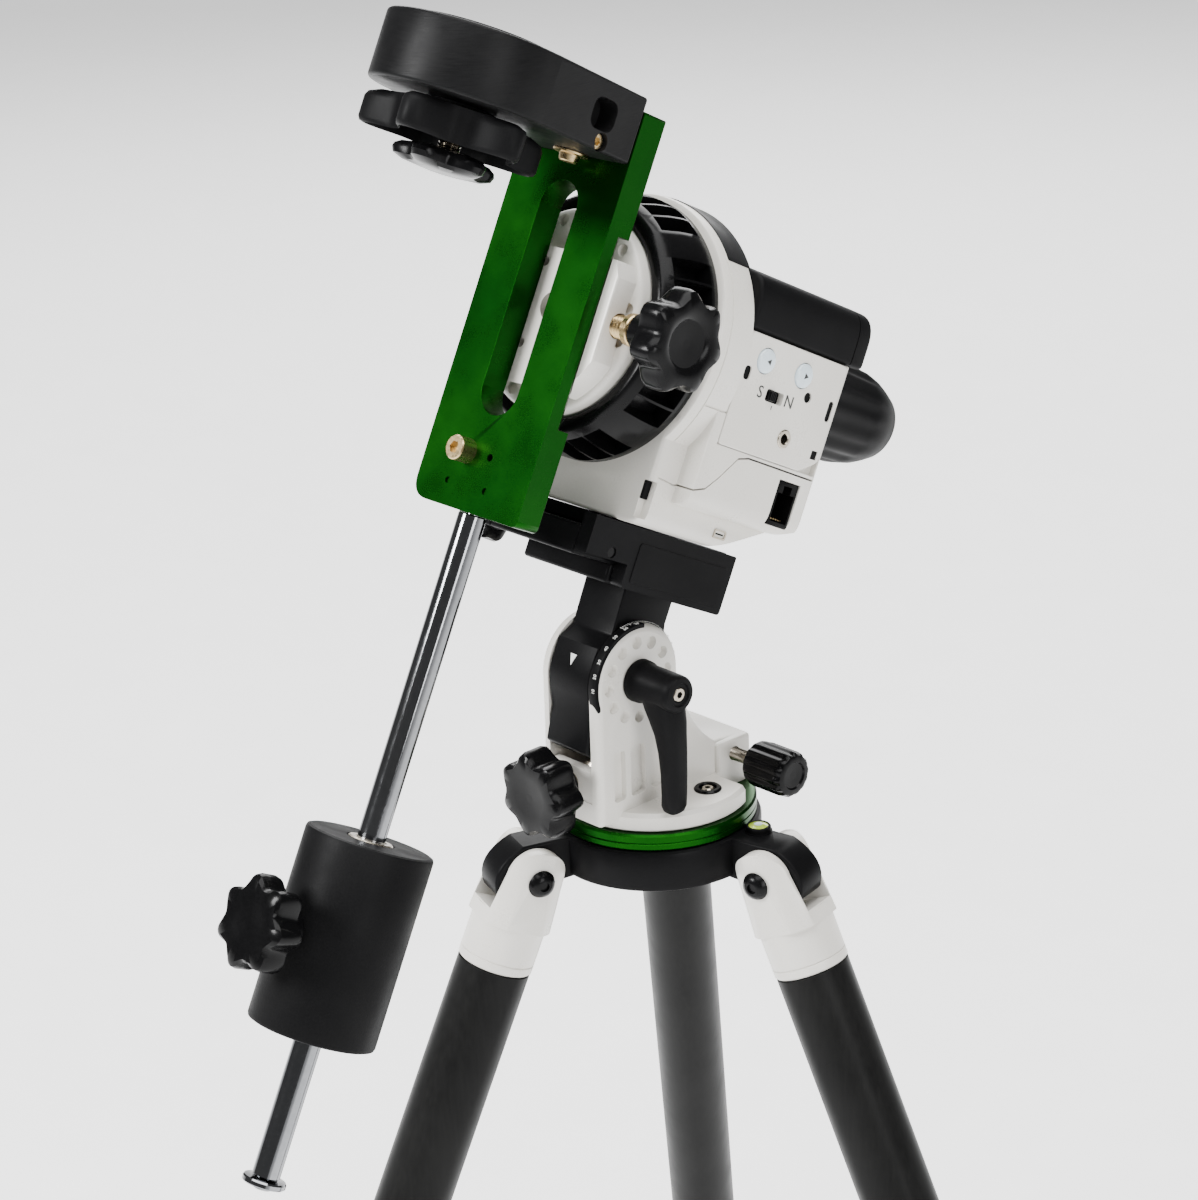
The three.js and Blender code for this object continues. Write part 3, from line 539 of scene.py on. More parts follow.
def star(radius: float, lobes: int, dip: float, at: Point = (0.0, 0.0), steps: int = 14,
         sharp: float = 1.0) -> list[Point]:
    """Return the outline of a lobed grip."""
    points = []
    for k in range(lobes * steps):
        angle = 2 * math.pi * k / (lobes * steps)
        wave = (0.5 + 0.5 * math.cos(lobes * angle)) ** sharp
        reach = radius * (1 - dip * (1 - wave))
        points.append((at[0] + reach * math.cos(angle), at[1] + reach * math.sin(angle)))
    return points


def thread(axis: Axis, radius: float, a: float, b: float, at: Point = (0.0, 0.0), pitch: float = 1.25,
           depth: float = 0.55) -> Solid:
    """Make a threaded rod as a row of sharp ridges."""
    profile = [(0.0, a), (radius - depth, a)]
    turns = int((b - a) / pitch)
    for k in range(turns):
        start = a + k * pitch
        profile += [(radius - depth, start + 0.1 * pitch), (radius, start + 0.5 * pitch),
                    (radius - depth, start + 0.9 * pitch)]
    profile += [(radius - depth, b), (0.0, b)]
    return lathe(profile, axis, 32, at)


def ring_of(source: Solid, count: int, axis: Axis, material: bpy.types.Material,
            start: float = 0.0, spread: float = 360.0) -> Solid:
    """Copy a solid round an axis with Geometry Nodes.

    Args:
        source: the solid to repeat, standing where the first copy goes.
        count: number of copies.
        axis: the axis that they go round.
        material: what the copies wear.
        start: angle of the first copy, in degrees.
        spread: angle that the row fills, in degrees.

    Returns:
        The copies as one solid.
    """
    tree = bpy.data.node_groups.new("copies_round_an_axis", "GeometryNodeTree")
    face = tree.interface
    face.new_socket("Geometry", in_out="INPUT", socket_type="NodeSocketGeometry")
    sizes = {name: face.new_socket(name, in_out="INPUT", socket_type=kind) for name, kind in
             (("Copies", "NodeSocketInt"), ("Start", "NodeSocketFloat"), ("Step", "NodeSocketFloat"))}
    face.new_socket("Geometry", in_out="OUTPUT", socket_type="NodeSocketGeometry")
    make = tree.nodes.new
    entry, leave = make("NodeGroupInput"), make("NodeGroupOutput")
    line, place = make("GeometryNodeMeshLine"), make("GeometryNodeInstanceOnPoints")
    number, scale, shift = make("GeometryNodeInputIndex"), make("ShaderNodeMath"), make("ShaderNodeMath")
    angles, real = make("ShaderNodeCombineXYZ"), make("GeometryNodeRealizeInstances")
    dress = make("GeometryNodeSetMaterial")
    line.inputs["Offset"].default_value = (0, 0, 0)
    scale.operation, shift.operation = "MULTIPLY", "ADD"
    dress.inputs["Material"].default_value = material
    link = tree.links.new
    link(entry.outputs["Copies"], line.inputs["Count"])
    link(line.outputs[0], place.inputs["Points"])
    link(entry.outputs["Geometry"], place.inputs["Instance"])
    link(number.outputs[0], scale.inputs[0])
    link(entry.outputs["Step"], scale.inputs[1])
    link(scale.outputs[0], shift.inputs[0])
    link(entry.outputs["Start"], shift.inputs[1])
    link(shift.outputs[0], angles.inputs[axis.value])
    link(angles.outputs[0], place.inputs["Rotation"])
    link(place.outputs[0], real.inputs[0])
    link(real.outputs[0], dress.inputs["Geometry"])
    link(dress.outputs[0], leave.inputs[0])
    modifier = source.object.modifiers.new("copies", "NODES")
    modifier.node_group = tree
    step = spread / (count if abs(spread) >= 360 else max(count - 1, 1))
    for name, value in (("Copies", count), ("Start", math.radians(start)), ("Step", math.radians(step))):
        modifier[sizes[name].identifier] = value
    graph = bpy.context.evaluated_depsgraph_get()
    graph.update()
    made = bpy.data.meshes.new_from_object(source.object.evaluated_get(graph))
    source.object.modifiers.clear()
    source.discard()
    bpy.data.node_groups.remove(tree)
    return Solid(made)


SAME_PLANE = 0.9999        # cosine between two faces above which they count as one plane


def _flatten_plain_faces(mesh: bpy.types.Mesh, share: float = 5.0) -> None:
    """Shade a face flat where it is far larger than every face that it bends into.

    Args:
        mesh: the finished mesh.
        share: how many times larger a plain face has to be.
    """
    faces_at: dict[tuple[int, int], list[int]] = {}
    for polygon in mesh.polygons:
        for key in polygon.edge_keys:
            faces_at.setdefault(key, []).append(polygon.index)
    areas = [polygon.area for polygon in mesh.polygons]
    for polygon in mesh.polygons:
        around = [areas[n] for key in polygon.edge_keys for n in faces_at[key]
                  if n != polygon.index and polygon.normal.dot(mesh.polygons[n].normal) < SAME_PLANE]
        limit = share * max(around, default=0.0)
        polygon.use_smooth = areas[polygon.index] < limit or len(polygon.vertices) < 4


class Workshop:
    """Places finished solids in the model."""

    def __init__(self, finishes: Finishes) -> None:
        """Keep the materials."""
        self.finishes = finishes
        self.count = 0

    def add(self, name: str, solid: Solid, place: Place, body: str, finish: str,
            replaces: Sequence[str] = (), slot: Optional[str] = None,
            crease: float = 32.0) -> bpy.types.Object:
        """Place a solid, dress it and let it ride on a body.

        Args:
            name: the piece's name.
            solid: the finished solid, in millimetres of its place.
            place: where it goes.
            body: the CAD body that it rides on.
            finish: its material.
            replaces: CAD nodes that it stands for.
            slot: material slot of the record, where it isn't the finish's own name; it is not used.
            crease: edges sharper than this many degrees stay crisp.

        Returns:
            The piece.
        """
        piece = solid.object
        piece.name = name
        piece.data.name = name
        piece.data.transform(place.matrix)
        piece.data.materials.clear()
        piece.data.materials.append(self.finishes[finish])
        for polygon in piece.data.polygons:
            polygon.material_index = 0
        piece.data.shade_smooth()
        piece.data.set_sharp_from_angle(angle=math.radians(crease))
        _flatten_plain_faces(piece.data)
        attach(piece, body)
        if replaces:
            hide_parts(*replaces)
        known = {m["slot"] for m in frame["record"]["materials"]}
        wanted = slot or finish
        wanted in known
        self.count += 1
        LOG.info("%s: %d faces on %s", name, len(piece.data.polygons), body)
        return piece


def text_solid(text: str, size: float, depth: float) -> Solid:
    """Return raised characters in the XY plane, centred on the origin."""
    curve = bpy.data.curves.new("mark", "FONT")
    curve.body, curve.size, curve.extrude = text, size, depth / 2
    curve.align_x, curve.align_y = "CENTER", "CENTER"
    curve.resolution_u = 3
    holder = bpy.data.objects.new("mark", curve)
    bpy.context.scene.collection.objects.link(holder)
    graph = bpy.context.evaluated_depsgraph_get()
    graph.update()
    mesh = bpy.data.meshes.new_from_object(holder.evaluated_get(graph))
    bpy.data.objects.remove(holder)
    bpy.data.curves.remove(curve)
    return Solid(mesh)


def lobed(axis: Axis, sections: Sequence[tuple[float, float, float]], lobes: int, at: Point = (0.0, 0.0),
          steps: int = 16, sharp: float = 1.0) -> Solid:
    """Stack lobed outlines into a grip with soft edges.

    Args:
        axis: the direction of the stack.
        sections: (radius, height, depth of the dips) of each outline.
        lobes: how many lobes go round.
        at: the axis's place in the other two coordinates.
        steps: points for each lobe.
        sharp: above 1 narrows the lobes.

    Returns:
        The grip.
    """
    points, faces = [], []
    count = lobes * steps
    for radius, height, dip in sections:
        points += [_lay(u, v, height, axis) for u, v in star(radius, lobes, dip, at, steps, sharp)]
    for i in range(len(sections) - 1):
        for k in range(count):
            n = (k + 1) % count
            faces.append((i * count + k, i * count + n, (i + 1) * count + n, (i + 1) * count + k))
    faces += [tuple(range(count)), tuple(range((len(sections) - 1) * count, len(sections) * count))]
    return Solid.from_faces(points, faces)


def loft(sections: Sequence[tuple[float, float, float, float]], steps: int = 40,
         squareness: float = 0.72) -> Solid:
    """Stack soft rectangles along Z.

    Args:
        sections: (height, middle in x, half width in x, half width in y) of each.
        steps: points round each one.
        squareness: 1 is an ellipse, and less is squarer.

    Returns:
        The solid.
    """
    points, faces = [], []
    for height, middle, wide, deep in sections:
        for k in range(steps):
            c, n = math.cos(2 * math.pi * k / steps), math.sin(2 * math.pi * k / steps)
            points.append((middle + wide * math.copysign(abs(c) ** squareness, c),
                           deep * math.copysign(abs(n) ** squareness, n), height))
    for i in range(len(sections) - 1):
        for k in range(steps):
            n = (k + 1) % steps
            faces.append((i * steps + k, i * steps + n, (i + 1) * steps + n, (i + 1) * steps + k))
    faces += [tuple(range(steps)), tuple(range((len(sections) - 1) * steps, len(sections) * steps))]
    return Solid.from_faces(points, faces)


def sector(axis: Axis, inner: float, outer: float, start: float, stop: float, a: float, b: float,
           at: Point = (0.0, 0.0), steps: int = 12) -> Solid:
    """Make a piece of a ring between two angles, from a to b along an axis."""
    outline = arc((0, 0), outer, start, stop, steps) + arc((0, 0), inner, stop, start, steps)
    return prism(axis, [(u + at[0], v + at[1]) for u, v in outline], a, b)


def screw_head(axis: Axis, radius: float, a: float, b: float, at: Point = (0.0, 0.0)) -> Solid:
    """Make a socket cap screw's head that faces from a towards b, with its hexagon hole."""
    side = 1 if b > a else -1
    soft = min(0.5, abs(b - a) * 0.3) * side
    head = lathe([(0, a), (radius, a), (radius, b - soft), (radius - abs(soft), b), (0, b)], axis, 32, at)
    hexagon = [(at[0] + radius * 0.52 * math.cos(math.radians(60 * k)),
                at[1] + radius * 0.52 * math.sin(math.radians(60 * k))) for k in range(6)]
    return head.cut(prism(axis, hexagon, b - side * radius * 0.55, b + side))


# ---- tripod ---------------------------------------------------------------------------------
@dataclass(frozen=True)
class TripodSizes:
    """Sizes of the tripod, in millimetres, measured from its hinge pins."""

    head_radius: float = 47.2
    head_low: float = -3.5
    head_high: float = 15.0
    pin_radius_out: float = 63.8
    lug_half: float = 8.6
    fork_half: float = 17.0
    tube_radius: float = 16.6
    tube_top: float = -45.3
    tube_low: float = -515.3
    collar_low: float = -522.3
    collar_length: float = 34.0
    lower_radius: float = 13.6
    lower_low: float = -558.3
    lower_length: float = 450.0
    splay: float = 22.8


class Tripod:
    """The tripod's head and its three folding legs."""

    LEVEL = (49.7, 14.6)

    def __init__(self, shop: Workshop, places: Places, sizes: TripodSizes = TripodSizes()) -> None:
        """Keep the tools and sizes."""
        self.shop, self.places, self.s = shop, places, sizes

    def build(self) -> None:
        """Build the head, then each leg."""
        self._head()
        for number in (1, 2, 3):
            self._leg(number)

    def _lug(self) -> Solid:
        """Return one lug, standing out along X."""
        s = self.s
        pin = s.pin_radius_out
        outline = [(36, s.head_low)] + arc((pin, 0), 12, 205, 300, 10) + [(pin + 16.5, -6.8)]
        for k in range(9):
            t = k / 8
            u = (pin + 17.5) * (1 - t) ** 2 + (pin + 21.5) * 2 * t * (1 - t) + (pin + 4) * t ** 2
            outline.append((u, -5.5 * (1 - t) ** 2 + 8 * 2 * t * (1 - t) + s.head_high * t ** 2))
        outline.append((36, s.head_high))
        return prism(Axis.Y, outline, -s.lug_half, s.lug_half).bevel(1.1, 3, 40)

    def _head(self) -> None:
        """Build the head's disc, lugs, bolt, level and the green ring on it."""
        s, add, base = self.s, self.shop.add, self.places.base
        rim = s.head_radius
        disc = lathe([(5.4, s.head_low), (14, s.head_low), (14, 5), (34, 5), (35.5, s.head_low),
                      (rim - 1.6, s.head_low),
                      (rim - 0.5, s.head_low + 0.6), (rim, s.head_low + 1.8), (rim, s.head_high - 2),
                      (rim - 0.6, s.head_high - 0.6), (rim - 2, s.head_high), (5.4, s.head_high)], steps=96)
        for number in (1, 2, 3):
            fold = Vector(joint(f"leg_{number}_fold")["pos_m"])
            out = fold - base.matrix.translation
            disc.join(self._lug().turn(math.degrees(math.atan2(out.y, out.x)), Axis.Z))
        disc.join(rod(Axis.Z, 6.2, s.head_high - 1.6, s.head_high + 0.3, self.LEVEL))
        add("tripod_head_casting", disc, base, "tripod_head", "black_enamel", ["tripod_head"])
        ring = lathe([(5.4, 15.3), (44.3, 15.3), (45.2, 16.2), (45.2, 18.4), (44.8, 18.8), (45.2, 19.2),
                      (45.2, 22.1),
                      (44.3, 23), (5.4, 23)], steps=96).with_loose(rod(Axis.Z, 4, 22.6, 42, (0, 30.5)))
        add("azimuth_ring_green", ring, base, "tripod_head", "green_anodised", ["azimuth_ring"])
        bolt = lathe([(0, -7.6), (3.4, -7.6), (3.4, -8.5), (8.2, -8.5), (9, -7.8), (9, -4.6), (8.4, -3.8),
                      (5, -3.8),
                      (5, 28.5), (0, 28.5)], steps=48)
        add("centre_bolt_turned", bolt, base, "tripod_head", "steel", ["centre_bolt"])
        high = s.head_high
        rim = lathe([(4.4, high), (5.6, high), (5.6, high + 2.2), (5.2, high + 2.7), (4.4, high + 2.7)],
                    at=self.LEVEL)
        add("level_rim", rim, base, "tripod_head", "matte_black_plastic")
        vial = lathe([(0, high + 0.1), (4.4, high + 0.1), (4.4, high + 2.4), (3.4, high + 2.9),
                      (1.8, high + 3.15),
                      (0, high + 3.2)], at=self.LEVEL)
        add("level_vial", vial, base, "tripod_head", "vial_green", slot="button_plastic")
        bubble = lathe([(0, high + 3.1), (1.5, high + 3.12), (1.9, high + 3.25), (1.5, high + 3.35),
                        (0, high + 3.4)],
                       at=self.LEVEL)
        add("level_bubble", bubble, base, "tripod_head", "button_plastic")

    def _leg(self, number: int) -> None:
        """Build one leg."""
        s, add, place = self.s, self.shop.add, self.places.leg(number)
        leg, half = f"leg_{number}", self.s.fork_half
        cap = [(0, 19.4), (2.3, 19.4), (2.3, 20.6), (3.3, 20.5), (5.2, 19.3), (6.3, 17.3), (4, 17.3)]
        pin = lathe([(r, -h) for r, h in cap] + [(r, h) for r, h in reversed(cap)], Axis.Y, 40)
        add(f"{leg}_pin", pin, place, "tripod_head", "gloss_black_plastic", [f"leg_pin_{number}"])
        cheek = [(-half, -24)] + [(-13.6, -3)] + arc((0, 0), 13.6, 180, 0, 24) + [(half, -24)]
        fork = prism(Axis.Y, cheek, -half, half)
        fork.common(lathe([(0, -30), (half + 2.4, -30), (half - 0.6, 13), (half - 2.4, 15), (0, 15)],
                          steps=72))
        barrel = lathe([(0, -45), (16.2, -45), (17, -44.2), (17, -41), (16.5, -40.6), (17, -40.2),
                        (17, -18), (0, -16.6)],
                       steps=72)
        slot = block((-30, 30), (-s.lug_half - 0.3, s.lug_half + 0.3), (-17.5, 30))
        fork.join(barrel).cut(slot).bevel(0.7, 3, 38)
        add(f"{leg}_fork", fork, place, leg, "cream_enamel", [f"leg_joint_{number}"])
        r = s.tube_radius
        tube = lathe([(r - 1.6, s.tube_low), (r - 0.3, s.tube_low), (r, s.tube_low + 0.4),
                      (r, s.tube_top - 0.4),
                      (r - 0.4, s.tube_top), (r - 1.6, s.tube_top)], steps=72)
        add(f"{leg}_upper_tube", tube, place, leg, "tube_anodised", [f"upper_tube_{number}"])
        self._lock(number, place)
        low, lower = s.lower_low, s.lower_radius
        inner = lathe([(lower - 1.4, low), (lower, low), (lower, low + s.lower_length),
                       (lower - 1.4, low + s.lower_length)],
                      steps=64)
        add(f"{leg}_lower_tube", inner, place, f"lower_leg_{number}", "tube_anodised",
            [f"lower_tube_{number}"])
        self._foot(number, place)

    def _lock(self, number: int, place: Place) -> None:
        """Build a leg's twist lock with its grip ribs."""
        s = self.s
        low, top, r = s.collar_low, s.collar_low + s.collar_length, s.tube_radius
        bore = s.lower_radius + 0.5
        sleeve = lathe([(bore, low), (r + 1.6, low), (r + 2.6, low + 1.5), (r + 2.9, low + 3),
                        (r + 2.9, top - 4),
                        (r + 2, top - 1), (r + 1.4, top), (r + 0.3, top), (r + 0.3, s.tube_low - 0.3),
                        (bore, s.tube_low - 0.3)], steps=72)
        rib = block((r + 2.2, r + 3.6), (-0.9, 0.9), (low + 4, top - 5)).bevel(0.4, 2)
        sleeve.with_loose(ring_of(rib, 24, Axis.Z, self.shop.finishes["matte_black_plastic"]))
        self.shop.add(f"leg_{number}_twist_lock", sleeve, place, f"leg_collar_{number}",
                      "matte_black_plastic",
                      [f"leg_collar_{number}"])

    def _foot(self, number: int, place: Place) -> None:
        """Build a rubber foot whose sole is level with the ground."""
        s = self.s
        low, lower = s.lower_low, s.lower_radius
        foot = lathe([(0, low - 28), (9, low - 26), (14.2, low - 20), (16.1, low - 12), (15.4, low - 6),
                      (15.6, low),
                      (15.2, low + 1), (15.7, low + 2), (15.9, low + 14), (15.2, low + 16),
                      (lower + 0.15, low + 16),
                      (lower + 0.15, low - 0.2), (0, low - 0.2)], steps=64)
        sole = block((-45, 45), (-45, 45), (-60, 0)).turn(s.splay, Axis.Y).move(0, 0, low - 20)
        self.shop.add(f"leg_{number}_foot", foot.cut(sole), place, f"lower_leg_{number}", "foot_rubber",
                      [f"rubber_foot_{number}"])


# ---- azimuth base ---------------------------------------------------------------------------
@dataclass(frozen=True)
class BaseSizes:
    """Sizes of the azimuth base, in millimetres."""

    pivot_y: float = -24.7
    pivot_z: float = 90.0
    cheek_in: float = 13.0
    cheek_out: float = 18.0
    cheek_radius: float = 24.5
    plate_radius: float = 42.5
    plate_low: float = 23.3
    plate_high: float = 31.5
    boss_high: float = 45.0
    screw_y: float = 30.5
    screw_z: float = 38.0
    worm_z: float = 45.3


class AzimuthBase:
    """The turning base with its cheeks, screws, knobs, latitude scale and lever."""

    def __init__(self, shop: Workshop, places: Places, sizes: BaseSizes = BaseSizes()) -> None:
        """Keep the tools and sizes."""
        self.shop, self.places, self.s = shop, places, sizes

    def build(self) -> None:
        """Build the casting and everything on it."""
        self._casting()
        self._azimuth_screws()
        self._altitude_drive()
        self._latitude_scale()
        self._clamp()

    def _casting(self) -> None:
        """Build the base's casting and the screw that locks it."""
        s = self.s
        y, z, r = s.pivot_y, s.pivot_z, s.cheek_radius
        curve = [(-0.2 * (1 - t) ** 2 + 8 * 2 * t * (1 - t) + 22 * t * t,
                  82 * (1 - t) ** 2 + 56 * 2 * t * (1 - t) + 46 * t * t) for t in (k / 10 for k in range(11))]
        side = [(-50, 27)] + arc((y, z), r, 184, 0, 40) + curve + [(41, s.boss_high), (41, 27)]
        cheeks = prism(Axis.X, side, -s.cheek_out, s.cheek_out)
        cheeks.bevel(3.2, 4, 50)
        rim = s.plate_radius
        plate = lathe([(0, s.plate_low), (rim - 0.8, s.plate_low), (rim, s.plate_low + 0.8),
                       (rim, s.plate_high - 1.6),
                       (rim - 1.6, s.plate_high), (0, s.plate_high)], steps=120)
        plate.cut(block((20, 60), (18.5, 60), (0, 60)), block((-60, -20), (18.5, 60), (0, 60)))
        boss = block((-20, 20), (20, 41), (s.plate_low, s.boss_high)).bevel(1.8, 3)
        body = plate.join(boss, cheeks)
        body.cut(block((-s.cheek_in, s.cheek_in), (-60, 12), (38, 130)))
        wall = block((-14, 14), (-49.5, -44.5), (30, 53)).bevel(0.8, 2)
        body.join(wall)
        body.cut(rod(Axis.X, 39.8, -s.cheek_in, s.cheek_in, (y, z), steps=96),
                 block((-6.6, 6.6), (-44.5, 8), (38.2, 52)), rod(Axis.Y, 4.3, -60, 10, (0, s.worm_z)),
                 rod(Axis.X, 3.3, -60, 60, (s.screw_y, s.screw_z)), rod(Axis.X, 5.3, -60, 60, (y, z)))
        enamel = self.shop.finishes["cream_enamel"]
        for edge in (-1, 1):
            dimple = rod(Axis.X, 1.7, edge * 15.6, edge * 18.6, (0, 17.0), end=3.1, steps=24)
            body.cut(ring_of(dimple, 12, Axis.X, enamel).move(0, y, z))
            for low, high in ((-41, -34), (-31, -22), (-19, -8), (-5, 3)):
                top = 60 if high < -4 else 56
                pocket = prism(Axis.X, rounded([(low, 37), (high, 37), (high, top), (low, top)], 2),
                               edge * 15.2, edge * 20)
                body.cut(pocket)
        self.shop.add("base_casting_body", body, self.places.base, "azimuth_base", "cream_enamel",
                      ["base_casting"],
                      crease=28)
        lock = lathe([(0, s.plate_high - 3), (6.2, s.plate_high - 3), (6.2, s.plate_high + 0.5),
                      (5.5, s.plate_high + 1.1),
                      (4, s.plate_high + 1.1), (3.6, s.plate_high), (0, s.plate_high)], Axis.Z, 40,
                      (28, 5.4))
        self.shop.add("base_lock_screw", lock, self.places.base, "azimuth_base", "gloss_black_plastic")
        head = screw_head(Axis.Z, 2.7, s.plate_high - 0.5, s.plate_high + 0.8, (28, 5.4))
        self.shop.add("base_lock_screw_head", head, self.places.base, "azimuth_base", "steel")

    def _azimuth_screws(self) -> None:
        """Build the two azimuth screws and their fluted knobs."""
        s, at = self.s, (self.s.screw_y, self.s.screw_z)
        for side, sign in (("left", -1), ("right", 1)):
            screw = thread(Axis.X, 3, *sorted((sign * 4.3, sign * 40)), at, 1.0, 0.45)
            self.shop.add(f"azimuth_thread_{side}", screw, self.places.base, f"azimuth_screw_{side}",
                          "steel",
                          [f"azimuth_screw_{side}"])
            sections = [(8.6, 34, 0), (9.6, 34.4, 0.02), (10.1, 35.4, 0.06), (10.6, 38, 0.09),
                        (10.6, 53, 0.09),
                        (10.2, 55.4, 0.07), (9.2, 56.6, 0.03), (8, 57, 0), (6.4, 57, 0), (5.8, 56.2, 0),
                        (2, 56, 0)]
            knob = lobed(Axis.X, [(r, sign * h, d) for r, h, d in sections], 14, at, 8)
            self.shop.add(f"azimuth_grip_{side}", knob, self.places.base, f"azimuth_knob_{side}",
                          "gloss_black_plastic", [f"azimuth_knob_{side}"])

    def _altitude_drive(self) -> None:
        """Build the altitude worm and the star knob on it."""
        at = (0, self.s.worm_z)
        worm = thread(Axis.Y, 5.6, -40, 2, at, 2.4, 1.2).join(rod(Axis.Y, 4, -67, 6, at))
        self.shop.add("altitude_worm_turned", worm, self.places.base, "altitude_worm", "steel",
                      ["altitude_worm"])
        sections = [(2, -74.2, 0), (9, -74.6, 0), (12, -75, 0.04), (17, -74.6, 0.14), (19.2, -73.2, 0.2),
                    (20, -71, 0.22),
                    (20, -62.5, 0.22), (19.2, -60.2, 0.2), (16.5, -59, 0.12), (11, -58.4, 0), (9, -57.4, 0),
                    (8.8, -54, 0), (8.2, -53, 0), (4.3, -53, 0)]
        star_knob = lobed(Axis.Y, sections, 7, at)
        self.shop.add("altitude_grip", star_knob, self.places.base, "altitude_worm", "gloss_black_plastic",
                      ["altitude_knob"])

    def _latitude_scale(self) -> None:
        """Build the black latitude band with its ticks and numerals."""
        s, ink = self.s, self.shop.finishes["white_ink"]
        place, low, high = self.places.pivot, s.cheek_in + 0.3, s.cheek_out - 0.2
        rim = s.cheek_radius
        band = sector(Axis.X, rim - 1.4, rim + 0.5, 78, 200, low, high, steps=48).bevel(0.2, 2)
        self.shop.add("latitude_band", band, place, "azimuth_base", "matte_black_plastic",
                      slot="matte_black_plastic")
        short = block((low + 0.1, low + 1.5), (-0.11, 0.11), (rim + 0.4, rim + 0.62))
        marks = ring_of(short, 45, Axis.X, ink, 12, -124 + 14)
        long = block((low + 0.1, low + 2.3), (-0.14, 0.14), (rim + 0.42, rim + 0.64))
        marks.with_loose(ring_of(long, 12, Axis.X, ink, 12, -110))
        for k, value in enumerate((70, 60, 50, 40, 30, 20, 10)):
            mark = text_solid(str(value), 2.3, 0.2).turn(90, Axis.Z).move(high - 1.4, 0, rim + 0.56)
            marks.with_loose(mark.turn(-4 + 15 * k, Axis.X))
        self.shop.add("latitude_marks", marks, place, "azimuth_base", "white_ink", slot="button_plastic")

    def _clamp(self) -> None:
        """Build the pivot bolt and the clamp lever."""
        place, edge = self.places.pivot, self.s.cheek_out
        bolt = rod(Axis.X, 5, -edge - 1, edge + 14)
        bolt.join(lathe([(0, -edge - 0.3), (11, -edge - 0.3), (11, -edge - 1.3), (10.4, -edge - 1.8),
                         (0, -edge - 1.8)],
                        Axis.X, 48))
        nut = prism(Axis.X, [(8.6 * math.cos(math.radians(60 * k)), 8.6 * math.sin(math.radians(60 * k)))
                             for k in range(6)], -edge - 6, -edge - 1.6).bevel(0.5, 2)
        self.shop.add("pivot_bolt_turned", bolt.join(nut), place, "azimuth_base", "steel", ["pivot_bolt"])
        hub = lathe([(0, 18.3), (9.2, 18.3), (9.6, 18.8), (9.4, 22), (8.6, 23), (8.4, 40), (8.2, 42.6),
                     (7.4, 43.8),
                     (5.4, 44), (5, 43.2), (0, 43.2)], Axis.X, 64)
        handle = loft([(0, 32.5, 9.4, 7.4), (-5, 33, 9.6, 7.4), (-9, 34, 9.0, 7.2), (-14, 35.6, 7.9, 6.9),
                       (-20, 37, 6.4, 6.4), (-28, 38, 5.4, 6.0), (-38, 38.4, 4.8, 5.7),
                       (-48, 38.2, 4.7, 5.4),
                       (-53, 37.8, 4.8, 5.2), (-55.4, 37.6, 4.0, 4.3), (-56.4, 37.6, 2.7, 3.0)])
        hub.join(handle)
        hub.cut(rod(Axis.X, 3.4, 42.4, 60, steps=32))
        self.shop.add("clamp_lever_screw", screw_head(Axis.X, 3.1, 42.3, 43.4), place, "clamp_lever",
                      "steel")
        self.shop.add("clamp_lever_moulding", hub, place, "clamp_lever", "matte_black_plastic",
                      ["clamp_lever"], crease=40)


# ---- altitude arm ---------------------------------------------------------------------------
@dataclass(frozen=True)
class ArmSizes:
    """Sizes of the altitude arm, in millimetres from its pivot."""

    half: float = 12.5
    sector_radius: float = 38.8
    saddle_low: float = 36.5
    bar_low: float = 57.5
    front: float = -70.0
    back: float = 14.0
    jaw_in: float = 26.0
    jaw_out: float = 33.0


